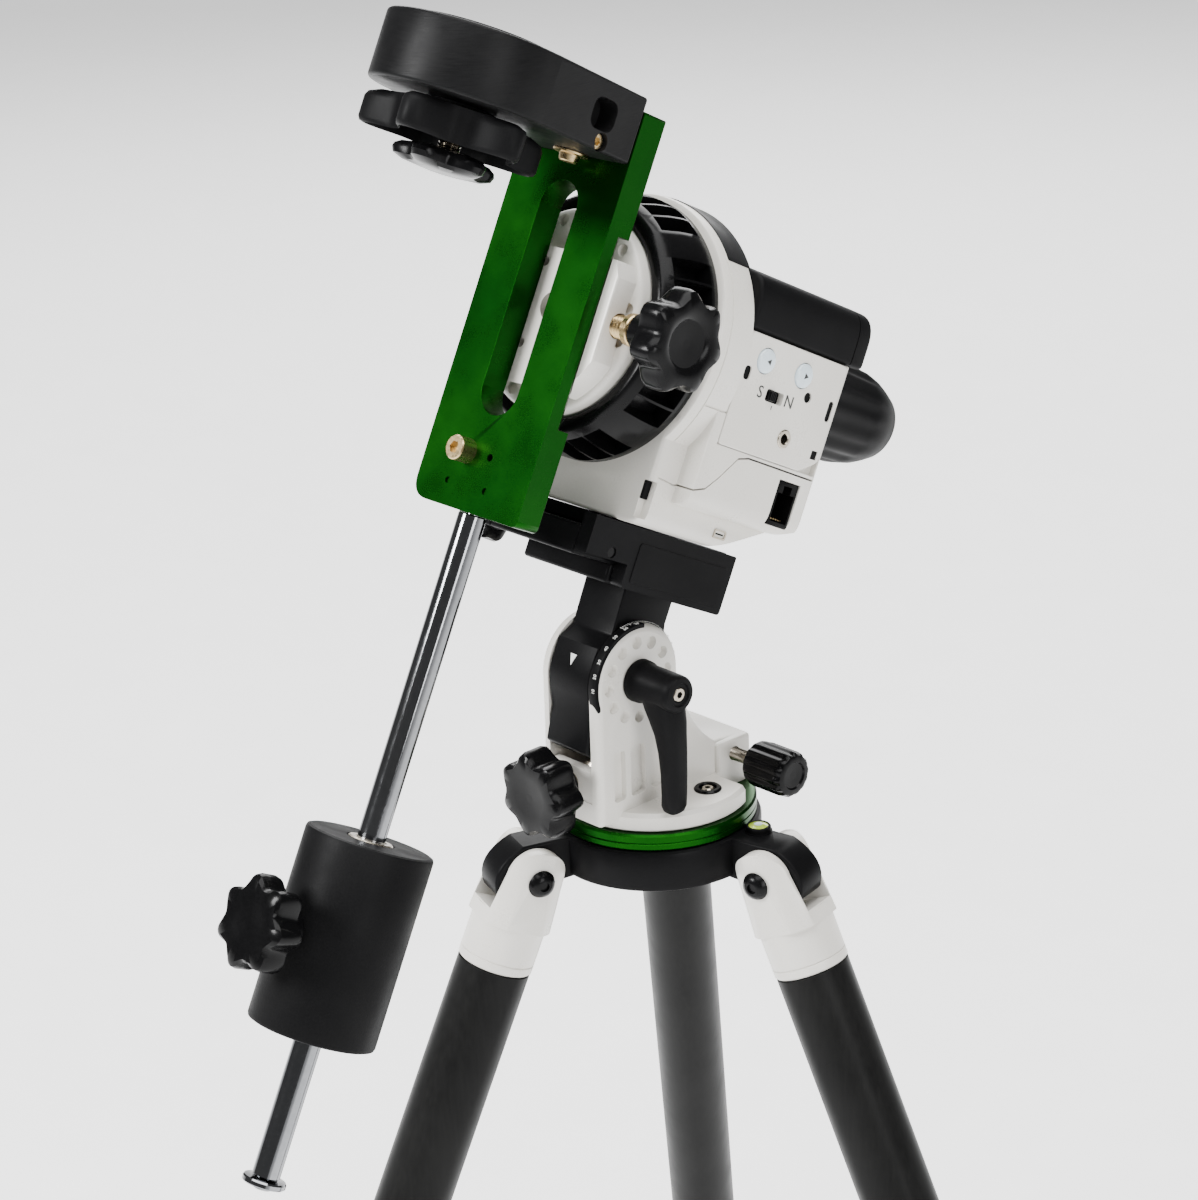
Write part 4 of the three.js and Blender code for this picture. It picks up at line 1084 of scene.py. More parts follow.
class Arm:
    """The arm that tilts, its toothed sector and the saddle that holds the polar unit."""

    def __init__(self, shop: Workshop, places: Places, sizes: ArmSizes = ArmSizes()) -> None:
        """Keep the tools and sizes."""
        self.shop, self.places, self.s = shop, places, sizes

    def build(self) -> None:
        """Build the arm and its saddle."""
        self._arm()
        self._saddle()

    def _arm(self) -> None:
        """Build the arm's casting with its worm teeth and the latitude pointer."""
        s = self.s
        side = [(-19, s.saddle_low + 1), (-18.4, 22), (-18, 15), (-21, 11), (-23.6, 8), (-24, 4), (-24, -3),
                (-23, -8),
                (-20, -14), (-15, -22)] + arc((0, 0), s.sector_radius, -108, -8, 40) + arc((0, 0), 26, -2,
                                                                                           60, 16) \
            + [(12, 26), (12, s.saddle_low + 1)]
        column = prism(Axis.X, side, -s.half, s.half).bevel(0.9, 3, 40)
        tooth = block((-4.4, 4.4), (-0.62, 0.62), (-s.sector_radius - 1, -s.sector_radius + 1.5))
        column.cut(ring_of(tooth, 44, Axis.X, self.shop.finishes["black_enamel"], -16, 96))
        foot = block((-26, 25.7), (s.front + 24, s.back), (s.saddle_low, s.saddle_low + 9)).bevel(1.4, 3)
        table = block((-26, 25.7), (s.front, s.back), (s.saddle_low + 8, s.bar_low - 0.3)).bevel(1.2, 3)
        wall = block((-33, -25.8), (s.front, s.back), (s.saddle_low + 8, s.bar_low + 5.4)).bevel(1.2, 3)
        body = column.join(foot, table, wall)
        self.shop.add("altitude_arm_casting", body, self.places.arm, "polar_body", "black_enamel",
                      ["altitude_arm"])
        pointer = prism(Axis.Y, [(-1.8, 2.6), (1.8, 2.6), (0, -2.4)], -24.25, -23.9)
        self.shop.add("latitude_pointer", pointer, self.places.arm, "polar_body", "white_ink",
                      slot="button_plastic")

    def _saddle(self) -> None:
        """Build the moving jaw, the dovetail bar and the saddle's knob."""
        s, add, place = self.s, self.shop.add, self.places.arm
        high = s.bar_low + 5.4
        plate = prism(Axis.X, rounded([(-44, s.saddle_low), (20, s.saddle_low), (20, high), (-44, high)],
                                      [3, 2, 1, 1]), s.jaw_in, s.jaw_out)
        lip = block((s.jaw_in, s.jaw_out), (s.front, 0), (s.bar_low - 11, high))
        jaw = plate.join(lip).bevel(0.9, 3, 40)
        jaw.cut(rod(Axis.X, 2.4, 0, 60, (s.front + 15, s.bar_low - 8), steps=32))
        add("saddle_jaw_casting", jaw, place, "saddle_jaw", "black_enamel", ["saddle_jaw"])
        label = prism(Axis.X, rounded([(-40, s.saddle_low + 3), (16, s.saddle_low + 3), (16, high - 6),
                                       (-40, high - 6)],
                                      1.6), s.jaw_out - 0.1, s.jaw_out + 0.35).bevel(0.15, 1)
        add("saddle_label_blank", label, place, "saddle_jaw", "matte_black_plastic")
        bar = prism(Axis.Y, [(-24.5, s.bar_low), (24.5, s.bar_low), (25.5, s.bar_low + 5.7),
                             (-25.5, s.bar_low + 5.7)],
                    s.front + 12, 22).bevel(0.7, 2)
        add("dovetail_bar_machined", bar, place, "polar_body", "black_enamel", ["dovetail_bar"])
        at = (s.front + 15, s.bar_low - 8)
        sections = [(2, -51.4, 0), (7.5, -52, 0), (11, -51.5, 0.1), (12.6, -50.3, 0.16), (13, -48.6, 0.18),
                    (13, -41.4, 0.18), (12.2, -39.4, 0.14), (9, -38.3, 0.04), (6.2, -38, 0),
                    (5.8, -33.6, 0), (2, -33.6, 0)]
        knob = lobed(Axis.X, sections, 6, at).with_loose(rod(Axis.X, 3, -34, 25.5, at),
                                                         rod(Axis.X, 2.2, 25.4, s.jaw_out - 0.6, at))
        add("saddle_grip", knob, place, "saddle_knob", "gloss_black_plastic", ["saddle_knob"])


# ---- polar unit -----------------------------------------------------------------------------
@dataclass(frozen=True)
class PolarSizes:
    """Sizes of the motor-driven polar unit, in millimetres from the bracket's middle."""

    drum_radius: float = 59.5
    drum_front: float = 46.8
    drum_back: float = 65.5
    half: float = 56.0
    back: float = 132.0
    top: float = 16.0
    low: float = -75.0
    lower_half: float = 46.0
    box_top: float = 42.0
    box_back: float = 141.0
    panel: float = 56.4
    hub: float = 43.8
    eyepiece_back: float = 222.0


class PolarUnit:
    """The cream housing, its control panel, covers, clutch ring and eyepiece."""

    def __init__(self, shop: Workshop, places: Places, sizes: PolarSizes = PolarSizes()) -> None:
        """Keep the tools and sizes."""
        self.shop, self.places, self.s = shop, places, sizes

    def _add(self, name: str, solid: Solid, body: str, finish: str, replaces: Sequence[str] = (),
             slot: Optional[str] = None, crease: float = 32.0) -> None:
        """Add a piece in the polar unit's place."""
        self.shop.add(name, solid, self.places.polar, body, finish, replaces, slot, crease)

    def build(self) -> None:
        """Build the whole polar unit."""
        self._housing()
        self._cover()
        self._panel()
        self._sockets()
        self._eyepiece()
        self._drive()
        self._hub()
        self._clutch_ring()
        self._bracket_clamp()

    def _housing(self) -> None:
        """Build the housing and the dark seam and recess in it."""
        s = self.s
        r = s.drum_radius
        drum = lathe([(0, s.drum_front), (r - 1.6, s.drum_front), (r - 0.5, s.drum_front + 0.5),
                      (r, s.drum_front + 1.6),
                      (r, s.drum_front + 5), (r - 0.5, s.drum_front + 5.2), (r - 0.5, s.drum_front + 5.6),
                      (r, s.drum_front + 5.8), (r, s.drum_back), (0, s.drum_back)], Axis.Y, 128)
        lower = prism(Axis.Y, rounded([(-s.lower_half, s.low), (s.lower_half, s.low), (s.lower_half, -20),
                                       (-s.lower_half, -20)], [7, 7, 0, 0], 8), s.drum_front, s.back)
        lower.bevel(1.6, 3, 50)
        rear = prism(Axis.Y, rounded([(-s.half, -62), (s.half, -62), (s.half, s.top), (-s.half, s.top)],
                                     [9, 9, 0.8, 0.8], 8), s.drum_back - 4, s.back)
        rear.bevel(1.8, 3, 50)
        slope = prism(Axis.X, [(95, s.low - 20), (95, s.low), (s.back, -58), (s.back + 20, -50),
                               (s.back + 20, -95)],
                      -80, 80)
        body = drum.join(lower, rear).cut(slope)
        body.cut(rod(Axis.Y, 18, 0, 75), rod(Axis.Y, 18, 100, 200),
                 block((s.half - 2.9, 80), (66.7, 131), (-33.3, 17)),
                 block((s.half - 12, 60), (111, 125), (-58.4, -38.6)),
                 block((42, 60), (46, 50.5), (-72, -56)),
                 self._seam_slit())
        for edge in (-1, 1):
            body.cut(sector(Axis.Y, r - 0.7, r + 2, 200 if edge < 0 else 340, 200.9 if edge < 0 else 340.9,
                            53, 70))
        self._add("housing_shell", body, "polar_body", "cream_enamel", ["front_housing"], crease=30)

    def _seam_slit(self) -> Solid:
        """Make the thin slit between the drum's half of the housing and the rear half."""
        path = [(131, -34.6), (88, -34.4), (82, -36), (74, -46), (68, -52), (60, -54.5), (50, -53.5)]
        outline = path + [(y + 0.1, z - 0.75) for y, z in reversed(path)]
        return prism(Axis.X, outline, self.s.lower_half - 0.8, 62)

    def _cover(self) -> None:
        """Build the dark top cover, its drum cap and the rear band."""
        s = self.s
        half, top = s.half, s.box_top
        outline = [(-half, s.top + 0.3), (half, s.top + 0.3), (half, top - 15)]
        outline += [(half * (1 - t) ** 2 + half * 2 * t * (1 - t) + (half - 9) * t * t,
                     (top - 15) * (1 - t) ** 2 + (top - 3) * 2 * t * (1 - t) + (top - 2) * t * t)
                    for t in (k / 8 for k in range(1, 9))]
        outline += [((half - 9) * (1 - 2 * t),
                     (top - 2) + 14 * t * (1 - t)) for t in (k / 16 for k in range(1, 17))]
        outline += [(-x, z) for x, z in reversed(outline[2:11])][1:]
        cover = prism(Axis.Y, outline, s.drum_back + 0.3, s.box_back).bevel(2.2, 4, 50)
        cover.cut(rod(Axis.Y, 32.5, s.back - 3.6, 200, steps=96), rod(Axis.Y, 18, 0, 80))
        y = s.back - 0.2
        seam = block((-80, 80), (y, y + 0.5), (s.top - 4, top + 8))
        seam.cut(prism(Axis.Y, [(u * 0.985, (v - 25) * 0.97 + 25) for u, v in outline], y - 1, y + 1.5))
        cover.cut(seam)
        self._add("battery_cover_shell", cover, "polar_body", "matte_black_plastic", ["battery_cover"])
        cap = sector(Axis.Y, s.drum_radius - 1, s.drum_radius + 0.5, 42, 138, 52.6, 66.6,
                     steps=48).bevel(0.4, 2)
        self._add("drum_cap", cap, "polar_body", "grey_cover", slot="matte_black_plastic")

    def _panel(self) -> None:
        """Build the control panel with its marks, buttons and switch."""
        s = self.s
        x0, x1 = s.half - 2.6, s.panel
        outline = rounded([(67, -33), (120, -33), (130.7, -27), (130.7, 15.7), (67, 15.7)], [2, 6, 5, 2, 2],
                          6)
        plate = prism(Axis.X, outline, x0, x1).bevel(0.5, 2, 50)
        spots = {"front": (80.0, 5.7), "rear": (105.0, 5.5)}
        for spot in spots.values():
            plate.cut(rod(Axis.X, 5.6, 40, 70, spot, steps=48))
        plate.cut(prism(Axis.X, rounded([(86, -9.8), (97, -9.8), (97, -4.6), (86, -4.6)], 1.2), 40, 70),
                  rod(Axis.X, 2.2, 40, 70, (105, -22.2)),
                  prism(Axis.X, rounded([(69, -4.4), (73, -4.4), (73, 1.6), (69, 1.6)], 1.9), x1 - 1.2, 70),
                  rod(Axis.X, 2.3, x1 - 1.4, 70, (111.7, -2.5)),
                  prism(Axis.X, rounded([(126, -9.4), (129, -9.4), (129, -0.4), (126, -0.4)], 1.4), x1 - 1,
                        70),
                  block((x1 - 1.4, 70), (124.6, 128.4), (-26.4, -22.6)))
        self._add("control_panel", plate, "polar_body", "cream_enamel", ["side_cover"])
        holes = rod(Axis.X, 2.2, x1 - 1.5, x1 - 0.7, (111.7, -2.5), steps=32)
        holes.with_loose(
            prism(Axis.X, rounded([(69.1, -4.3), (72.9, -4.3), (72.9, 1.5), (69.1, 1.5)], 1.8), x1 - 1.3,
                  x1 - 0.6),
            prism(Axis.X, rounded([(126.1, -9.3), (128.9, -9.3), (128.9, -0.5), (126.1, -0.5)], 1.3),
                  x1 - 1.1, x1 - 0.4),
            block((x1 - 1.5, x1 - 0.2), (124.7, 128.3), (-26.3, -22.7)).bevel(0.3, 2))
        self._add("panel_recesses", holes, "polar_body", "socket_black", slot="matte_black_plastic")
        for name, (y, z) in spots.items():
            x = s.panel
            cap = lathe([(0, x - 6), (6.4, x - 6), (6.4, x - 4.4), (5.2, x - 4.4), (5.2, x + 0.4),
                         (4.9, x + 0.9),
                         (4.1, x + 1.35), (2.6, x + 1.7), (0, x + 1.85)], Axis.X, 48, (y, z))
            self._add(f"slew_cap_{name}", cap, f"slew_button_{name}", "button_plastic",
                      [f"slew_button_{name}"])
            side = -1 if name == "front" else 1
            arrow = prism(Axis.X, [(y - side * 1.1, z - 1.3), (y + side * 1.3, z),
                                   (y - side * 1.1, z + 1.3)],
                          x + 1.5, x + 1.88)
            self._add(f"slew_arrow_{name}", arrow, f"slew_button_{name}", "dark_ink",
                      slot="matte_black_plastic")
        knob = block((x0 - 1.2, s.panel + 1.2), (86.8, 91.2), (-9.2, -5.2)).bevel(0.4, 2)
        rib = block((s.panel + 1, s.panel + 1.7), (87.4, 87.9), (-9, -5.4))
        for k in range(4):
            knob.with_loose(Solid(rib.object.data.copy()).move(0, 0.95 * k, 0))
        rib.discard()
        knob.with_loose(block((x0 - 2.2, x0 - 0.2), (84, 98.8), (-11, -3.4)))
        self._add("hemisphere_slider", knob, "hemisphere_switch", "gloss_black_plastic",
                  ["hemisphere_switch"],
                  slot="matte_black_plastic")
        marks = text_solid("S", 7.4, 0.2).with_loose(text_solid("N", 7.4, 0.2).move(19, 0, 0))
        marks.turn(90, Axis.X).turn(90, Axis.Z).move(s.panel + 0.05, 82, -7.2)
        marks.with_loose(block((s.panel - 0.1, s.panel + 0.12), (91.3, 91.7), (-12.6, -10.9)))
        self._add("hemisphere_marks", marks, "polar_body", "dark_ink", slot="matte_black_plastic")

    def _sockets(self) -> None:
        """Build the guide, power and data sockets, and the block of painted shade in the housing's recess."""
        s = self.s
        x = s.half
        port = block((x - 11.6, x - 0.3), (111.3, 124.7), (-58.1, -38.9)).bevel(0.5, 2)
        port.cut(block((x - 9.6, x + 4), (112.6, 123.4), (-56.4, -44)),
                 block((x - 9.6, x + 4), (115.4, 120.6), (-45, -40.6)))
        self._add("guide_socket_shell", port, "polar_body", "socket_black", ["guide_port"],
                  slot="matte_black_plastic")
        pin = block((x - 9.4, x - 2.5), (113.9, 114.3), (-55.6, -55.1))
        pins = Solid(pin.object.data.copy())
        for k in range(1, 6):
            pins.with_loose(Solid(pin.object.data.copy()).move(0, 1.6 * k, 0))
        pin.discard()
        # Painted shade: a dark block at the back of the housing's recess, under its top edge, darkening it
        # where shade falls; no such part is there.
        recess_shade = block((41.8, 43.5), (46.9, 50.3), (-64, -56.2)).bevel(0.4, 2)
        self._add("housing_recess_plug", recess_shade, "polar_body", "matte_black_plastic")
        self._add("guide_contacts", pins, "polar_body", "brass", slot="steel")
        jack = lathe([(2.1, s.panel - 2.5), (4, s.panel - 2.5), (4, s.panel + 0.25), (3.6, s.panel + 0.6),
                      (2.5, s.panel + 0.6), (2.1, s.panel + 0.2)], Axis.X, 40, (105, -22.2))
        self._add("power_jack_ring", jack, "polar_body", "steel")
        well = rod(Axis.X, 2.15, s.panel - 4, s.panel - 2.4, (105, -22.2))
        self._add("power_jack_well", well, "polar_body", "socket_black", slot="matte_black_plastic")
        shell = prism(Axis.X, rounded([(92.2, -70.6), (99.8, -70.6), (99.8, -66.6), (92.2, -66.6)], 1), 44,
                      46.5)
        shell.cut(prism(Axis.X, rounded([(92.9, -69.9), (99.1, -69.9), (99.1, -67.3), (92.9, -67.3)], 0.6),
                        45.2, 50))
        self._add("data_socket_shell", shell, "polar_body", "steel")
        tongue = block((44.8, 46.1), (93.6, 98.4), (-68.9, -68.2))
        self._add("data_socket_tongue", tongue, "polar_body", "socket_black", slot="matte_black_plastic")

    def _eyepiece(self) -> None:
        """Build the date ring, the eyepiece ring and the polar scope."""
        s = self.s
        ring = lobed(Axis.Y, [(29.6, 132.3, 0), (30.6, 132.8, 0.01), (31, 134, 0.02), (31, 138.4, 0.02),
                              (30.6, 139.5, 0.01),
                              (29.6, 140, 0)], 48, steps=6)
        ring.cut(rod(Axis.Y, 16.4, 100, 200, steps=64))
        self._add("date_ring_grip", ring, "date_ring", "matte_black_plastic", ["date_ring"])
        end = s.eyepiece_back
        sections = [(23.2, 140.3, 0), (24.2, 141.3, 0), (24.9, 143, 0.01), (24.9, 146, 0.05),
                    (22.6, 200, 0.05),
                    (22.1, 203, 0.01), (20.6, 210, 0), (18.6, 215.6, 0), (16.4, end - 1.2, 0),
                    (15.4, end - 0.4, 0)]
        grip = lobed(Axis.Y, sections, 16, steps=10)
        grip.cut(rod(Axis.Y, 12.7, 100, 250, steps=72))
        self._add("eyepiece_rubber", grip, "eyepiece_ring", "matte_black_plastic", ["eyepiece_ring"],
                  crease=28)
        scope = lathe([(7, 66), (10, 60), (10, 20), (12.1, 20), (12.1, end - 3.4), (11.7, end - 3),
                       (9, end - 3),
                       (7, end - 5)], Axis.Y, 72)
        self._add("polar_scope_barrel", scope, "polar_body", "matte_black_plastic", ["polar_scope"])
        lens = lathe([(0, end - 7.4), (6.9, end - 8.6), (6.9, end - 9.6), (0, end - 9.6)], Axis.Y, 48)
        self._add("polar_scope_lens", lens, "polar_body", "lens_glass", slot="gloss_black_plastic")

    def _drive(self) -> None:
        """Build the motor, worm and spindle inside the housing."""
        motor = block((-40, -12), (84, 112), (-46, -24)).bevel(1.5,
                                                               3).join(rod(Axis.Y, 3, 79, 85, (-26, -35)))
        self._add("motor_can", motor, "polar_body", "steel", ["stepper_motor"])
        worm = thread(Axis.X, 5, 8, 30, (74, -37.4), 2.2, 1).join(rod(Axis.X, 2.4, -2, 40, (74, -37.4)))
        self._add("ra_worm_turned", worm, "ra_worm", "steel", ["ra_worm"])
        spindle = lathe([(12.4, 24), (17, 24), (17, 70), (31, 70), (32, 71), (32, 77), (31, 78), (17, 78),
                         (17, 112),
                         (12.4, 112)], Axis.Y, 96)
        self._add("ra_spindle_turned", spindle, "polar_head", "steel", ["ra_spindle"])

    def _hub(self) -> None:
        """Build the cream hub that the bracket seats on."""
        s = self.s
        face, r = 12.0, s.hub
        disc = lathe([(0, face), (r - 3.4, face), (r - 1.4, face + 0.7), (r - 0.4, face + 1.8),
                      (r, face + 3.6), (r, 44),
                      (38, 44), (38, 23.7), (0, 23.7)], Axis.Y, 120)
        rails = block((-38, -25.4), (0.9, face + 1), (-34, 24)).bevel(1, 2)
        rails.join(block((25.4, 38), (0.9, face + 1), (-34, 24)).bevel(1, 2),
                   block((-30, 30), (6.65, face + 1), (-34, 24)))
        rails.common(rod(Axis.Y, r - 2, -5, 30, steps=96))
        groove = prism(Axis.Z, [(-32.9, 0.2), (32.9, 0.2), (26.5, 6.7), (-26.5, 6.7)], -60, 60)
        body = disc.join(rails).cut(groove, rod(Axis.Y, 6, -10, 40), rod(Axis.X, 5.3, 20, 60, (9.8, -1)),
                                    rod(Axis.Y, 12.7, 19, 40))
        for x in (-10.9, 10.9):
            for z in (-17.5, 17.5):
                body.cut(rod(Axis.Y, 2.2, 0, 18, (x, z), steps=24))
        dimple = rod(Axis.Y, 2.6, face - 1, face + 1.8, (38.6, 0), steps=24)
        body.cut(ring_of(dimple, 18, Axis.Y, self.shop.finishes["cream_enamel"], 10))
        self._add("hub_casting", body, "polar_head", "cream_enamel", ["ra_saddle"])
        screws = [screw_head(Axis.Y, 2.05, 13.5, 11.2, (x, z)) for x in (-10.9, 10.9) for z in (-17.5,
                                                                                                17.5)]
        screws[0].with_loose(*screws[1:])
        self._add("hub_screws", screws[0], "polar_head", "steel")

    def _clutch_ring(self) -> None:
        """Build the glossy clutch ring with its deep grip pockets."""
        profile = [(45.1, 17.9), (45.5, 17.7), (48.8, 17.7), (50.2, 18.1), (51.2, 19.2), (53.2, 22.6),
                   (55.6, 31),
                   (56.7, 36.8), (57, 39), (57, 44.8), (56.3, 46.2), (55.6, 46.5), (45.1, 46.5)]
        ring = lathe(profile, Axis.Y, 144)
        gloss = self.shop.finishes["gloss_black_plastic"]
        for start, stop in ((-15, -5.6), (-4.5, 4.5), (5.6, 15)):
            cutter = sector(Axis.Y, 48.9, 62, start, stop, 22.4, 41.6, steps=6)
            ring.cut(ring_of(cutter, 8, Axis.Y, gloss, 22.5))
        ring.bevel(0.35, 2, 40)
        self._add("clutch_grip", ring, "clutch_ring", "gloss_black_plastic", ["clutch_ring"], crease=40)

    def _bracket_clamp(self) -> None:
        """Build the bolt and star knob that clamp the bracket."""
        at = (9.8, -1.0)
        bolt = thread(Axis.X, 5, 28.4, 45.2, at, 1.6, 0.7).join(rod(Axis.X, 5, 45, 50, at),
                                                                lathe([(0, 45), (6.4, 45), (6.8, 45.4),
                                                                       (6.8, 48), (6.4, 48.6), (5, 48.6),
                                                        (5, 64), (0, 64)], Axis.X, 48, at))
        self._add("clamp_bolt_turned", bolt, "clamp_bolt", "brass", ["clamp_bolt"], slot="steel")
        sections = [(5.3, 50, 0), (7.2, 50, 0), (7.6, 50.6, 0), (7.6, 57, 0), (8.6, 60, 0),
                    (11.5, 63, 0.02),
                    (16.5, 64.4, 0.08), (20, 65.2, 0.15), (21.3, 66.6, 0.18), (21.5, 68.6, 0.19),
                    (21.5, 74.4, 0.19),
                    (20.8, 76.6, 0.18), (18.8, 78.2, 0.13), (14.6, 79, 0.05), (11, 78.4, 0), (9.6, 77.2, 0),
                    (2, 76.8, 0)]
        self._add("clamp_grip", lobed(Axis.X, sections, 7, at), "clamp_knob", "gloss_black_plastic",
                  ["clamp_knob"])


# ---- bracket, counterweight and declination head -----------------------------------------------
@dataclass(frozen=True)
class HeadSizes:
    """Sizes of what turns with the bracket, in millimetres."""

    half: float = 32.4
    thick: float = 12.7
    low: float = -90.8
    high: float = 83.2
    slot_half: float = 10.8
    slot_low: float = -49.8
    slot_high: float = 50.0
    shaft_radius: float = 6.0
    shaft_length: float = 285.5
    weight_radius: float = 27.4
    weight_high: float = -230.6
    weight_low: float = -314.6
    dec_ahead: float = -71.5
    dec_radius: float = 38.8
    dec_low: float = 60.8
    dec_high: float = 88.6


class PolarHead:
    """The green bracket with the counterweight below it and the declination head on it."""

    def __init__(self, shop: Workshop, places: Places, sizes: HeadSizes = HeadSizes()) -> None:
        """Keep the tools and sizes."""
        self.shop, self.places, self.s = shop, places, sizes

    def _add(self, name: str, solid: Solid, body: str, finish: str, replaces: Sequence[str] = (),
             slot: Optional[str] = None, crease: float = 32.0) -> None:
        """Add a piece in the polar place."""
        self.shop.add(name, solid, self.places.polar, body, finish, replaces, slot, crease)

    def build(self) -> None:
        """Build the bracket and all that it carries."""
        self._bracket()
        self._shaft()
        self._counterweight()
        self._declination_head()
        self._declination_wheels()

    def _bracket(self) -> None:
        """Build the slotted bracket and its screws."""
        s = self.s
        half, deep = s.half, s.thick / 2
        outline = rounded([(-half, s.low), (half, s.low), (half, s.high), (-half, s.high)], [9, 3, 1, 1],
                          10)
        plate = prism(Axis.Y, outline, -deep, deep)
        slot = arc((0, s.slot_high - s.slot_half), s.slot_half, 0, 180, 32) \
            + arc((0, s.slot_low + s.slot_half), s.slot_half, 180, 360, 32)
        plate.cut(prism(Axis.Y, slot, -20, 20))
        for edge in (-1, 1):
            wedge = [(edge * (half + 0.4), -0.4), (edge * (half - 6.4), deep + 0.65),
                     (edge * (half + 9), deep + 0.65),
                     (edge * (half + 9), -0.4)]
            plate.cut(prism(Axis.Z, wedge, -48, 33))
        plate.bevel(0.75, 2, 30)
        plate.cut(rod(Axis.Y, 3.3, -20, 20, (-7.5, -66.8), steps=32),
                  rod(Axis.Y, 1.6, -20, 20, (6.2, -66.8), steps=24),
                  *(rod(Axis.Y, 2.2, -20, -deep + 1.1, (x, -80.5), steps=28, end=1.4) for x in (-13.9, 9)),
                  rod(Axis.Z, 3.2, s.low - 1, s.low + 14))
        self._add("bracket_plate", plate, "polar_head", "green_anodised", ["bracket"], crease=25)
        cap = screw_head(Axis.Y, 5.2, -deep, -deep - 8,
                         (-7.5, -66.8)).join(rod(Axis.Y, 3, -deep - 1, 2, (-7.5, -66.8)))
        self._add("bracket_cap_screw", cap, "polar_head", "brass", slot="steel")

    def _shaft(self) -> None:
        """Build the counterweight shaft and its end cap."""
        s = self.s
        top = s.low - 0.3
        end = top - s.shaft_length
        bar = lathe([(0, end), (5.4, end), (6, end + 0.7), (6, top - 0.5), (5.5, top), (2.9, top),
                     (2.9, top + 12), (0, top + 12)],
                    steps=72)
        self._add("weight_shaft_chrome", bar, "polar_head", "chrome_shaft", ["weight_shaft"])
        low = end - 0.3
        cap = lathe([(0, low - 4.2), (2, low - 4.2), (2.2, low - 5), (3.4, low - 5), (4.4, low - 4.4),
                     (4.6, low - 3.2),
                     (8.9, low - 3), (9.4, low - 2.5), (9.4, low - 0.9), (8.9, low - 0.2), (0, low)],
                     steps=64)
        self._add("shaft_end_washer", cap, "polar_head", "chrome_shaft", ["shaft_end_cap"])

    def _counterweight(self) -> None:
        """Build the counterweight and its locking knob."""
        s = self.s
        r, low, high = s.weight_radius, s.weight_low, s.weight_high
        bore = s.shaft_radius + 0.3
        body = lathe([(bore, low), (12, low), (12.4, low + 0.4), (r - 1.6, low + 0.4), (r - 0.4, low + 0.9),
                      (r, low + 2),
                      (r, high - 2), (r - 0.4, high - 0.9), (r - 1.6, high - 0.4), (10.4, high - 0.4),
                      (10, high - 1.4),
                      (bore + 1, high - 1.4), (bore, high - 2.2)], steps=112)
        at = (0, (low + high) / 2)
        body.cut(rod(Axis.Y, 4.2, -40, -6, at))
        self._add("counterweight_casting", body, "counterweight", "weight_iron", ["counterweight"])
        collar = lathe([(bore, high - 2), (9, high - 2), (9.6, high - 1.6), (9.6, high - 0.5), (9, high),
                        (bore + 0.6, high),
                        (bore, high - 0.6)], steps=56)
        self._add("counterweight_collar", collar, "counterweight", "steel")
        sections = [(2, -50.6, 0), (8.4, -51, 0), (12, -51.4, 0.06), (17.4, -51, 0.16), (19.8, -49.6, 0.22),
                    (20.5, -47.4, 0.24), (20.5, -41, 0.24), (19.6, -38.4, 0.22), (16, -36.8, 0.13),
                    (11, -36, 0.03),
                    (8.8, -34.6, 0), (8.4, -32, 0), (8.4, -28.4, 0), (7.8, -27.7, 0), (3.9, -27.7, 0),
                    (3.9, -6.3, 0)]
        self._add("weight_lock_grip", lobed(Axis.Y, sections, 7, at), "weight_lock_knob",
                  "gloss_black_plastic",
                  ["weight_lock_knob"])

    def _declination_head(self) -> None:
        """Build the declination block and its camera platform."""
        s = self.s
        back, centre = -s.thick / 2 - 0.3, s.dec_ahead
        outline = [(s.half, back), (-s.half, back), (-s.dec_radius + 0.3, centre + 8)] \
            + arc((0, centre), s.dec_radius, 176, 364, 72) + [(s.dec_radius - 0.3, centre + 8)]
        body = prism(Axis.Z, outline, s.dec_low, s.dec_high).bevel(1.4, 3, 45)
        pocket = [(u, v) for u, v in rounded([(-37.5, 68.6), (-22.5, 68.6), (-22.5, 81.4), (-37.5, 81.4)],
                                             5.2, 8)]
        body.cut(rod(Axis.Z, 30, s.dec_high - 5, s.dec_high + 5, (0, centre), steps=96),
                 rod(Axis.Z, 8.5, s.dec_low - 1, s.dec_high + 1, (0, centre)),
                 prism(Axis.X, pocket, 24, 60),
                 rod(Axis.X, 3.8, 29, 60, (-27, 64.6), steps=32))
        self._add("dec_block", body, "polar_head", "brushed_black", ["dec_arm"], slot="black_enamel")
        self._add("dec_side_screw", screw_head(Axis.X, 3.5, 29, 32.2, (-27, 64.6)), "polar_head", "brass",
                  slot="steel")
        bolt = lathe([(0, 60.9), (7.3, 60.9), (7.5, 60.3), (7.3, 59.6), (4.6, 59.2), (4, 56.6), (3.4, 56.2),
                      (0, 56.2)],
                     Axis.Z, 40, (6, -14))
        self._add("dec_flange_bolt", bolt, "polar_head", "brass", slot="steel")
        table = lathe([(5, s.dec_low - 4), (8.2, s.dec_low - 4), (8.2, s.dec_high - 4.7),
                       (28.8, s.dec_high - 4.7),
                       (29.6, s.dec_high - 4), (29.6, s.dec_high + 0.9), (28.9, s.dec_high + 1.6),
                       (24, s.dec_high + 1.6),
                       (23.6, s.dec_high + 1.3), (23.2, s.dec_high + 1.6), (5, s.dec_high + 1.6)], Axis.Z,
                       96, (0, centre))
        self._add("camera_platform", table, "dec_turntable", "black_enamel", ["dec_turntable"])

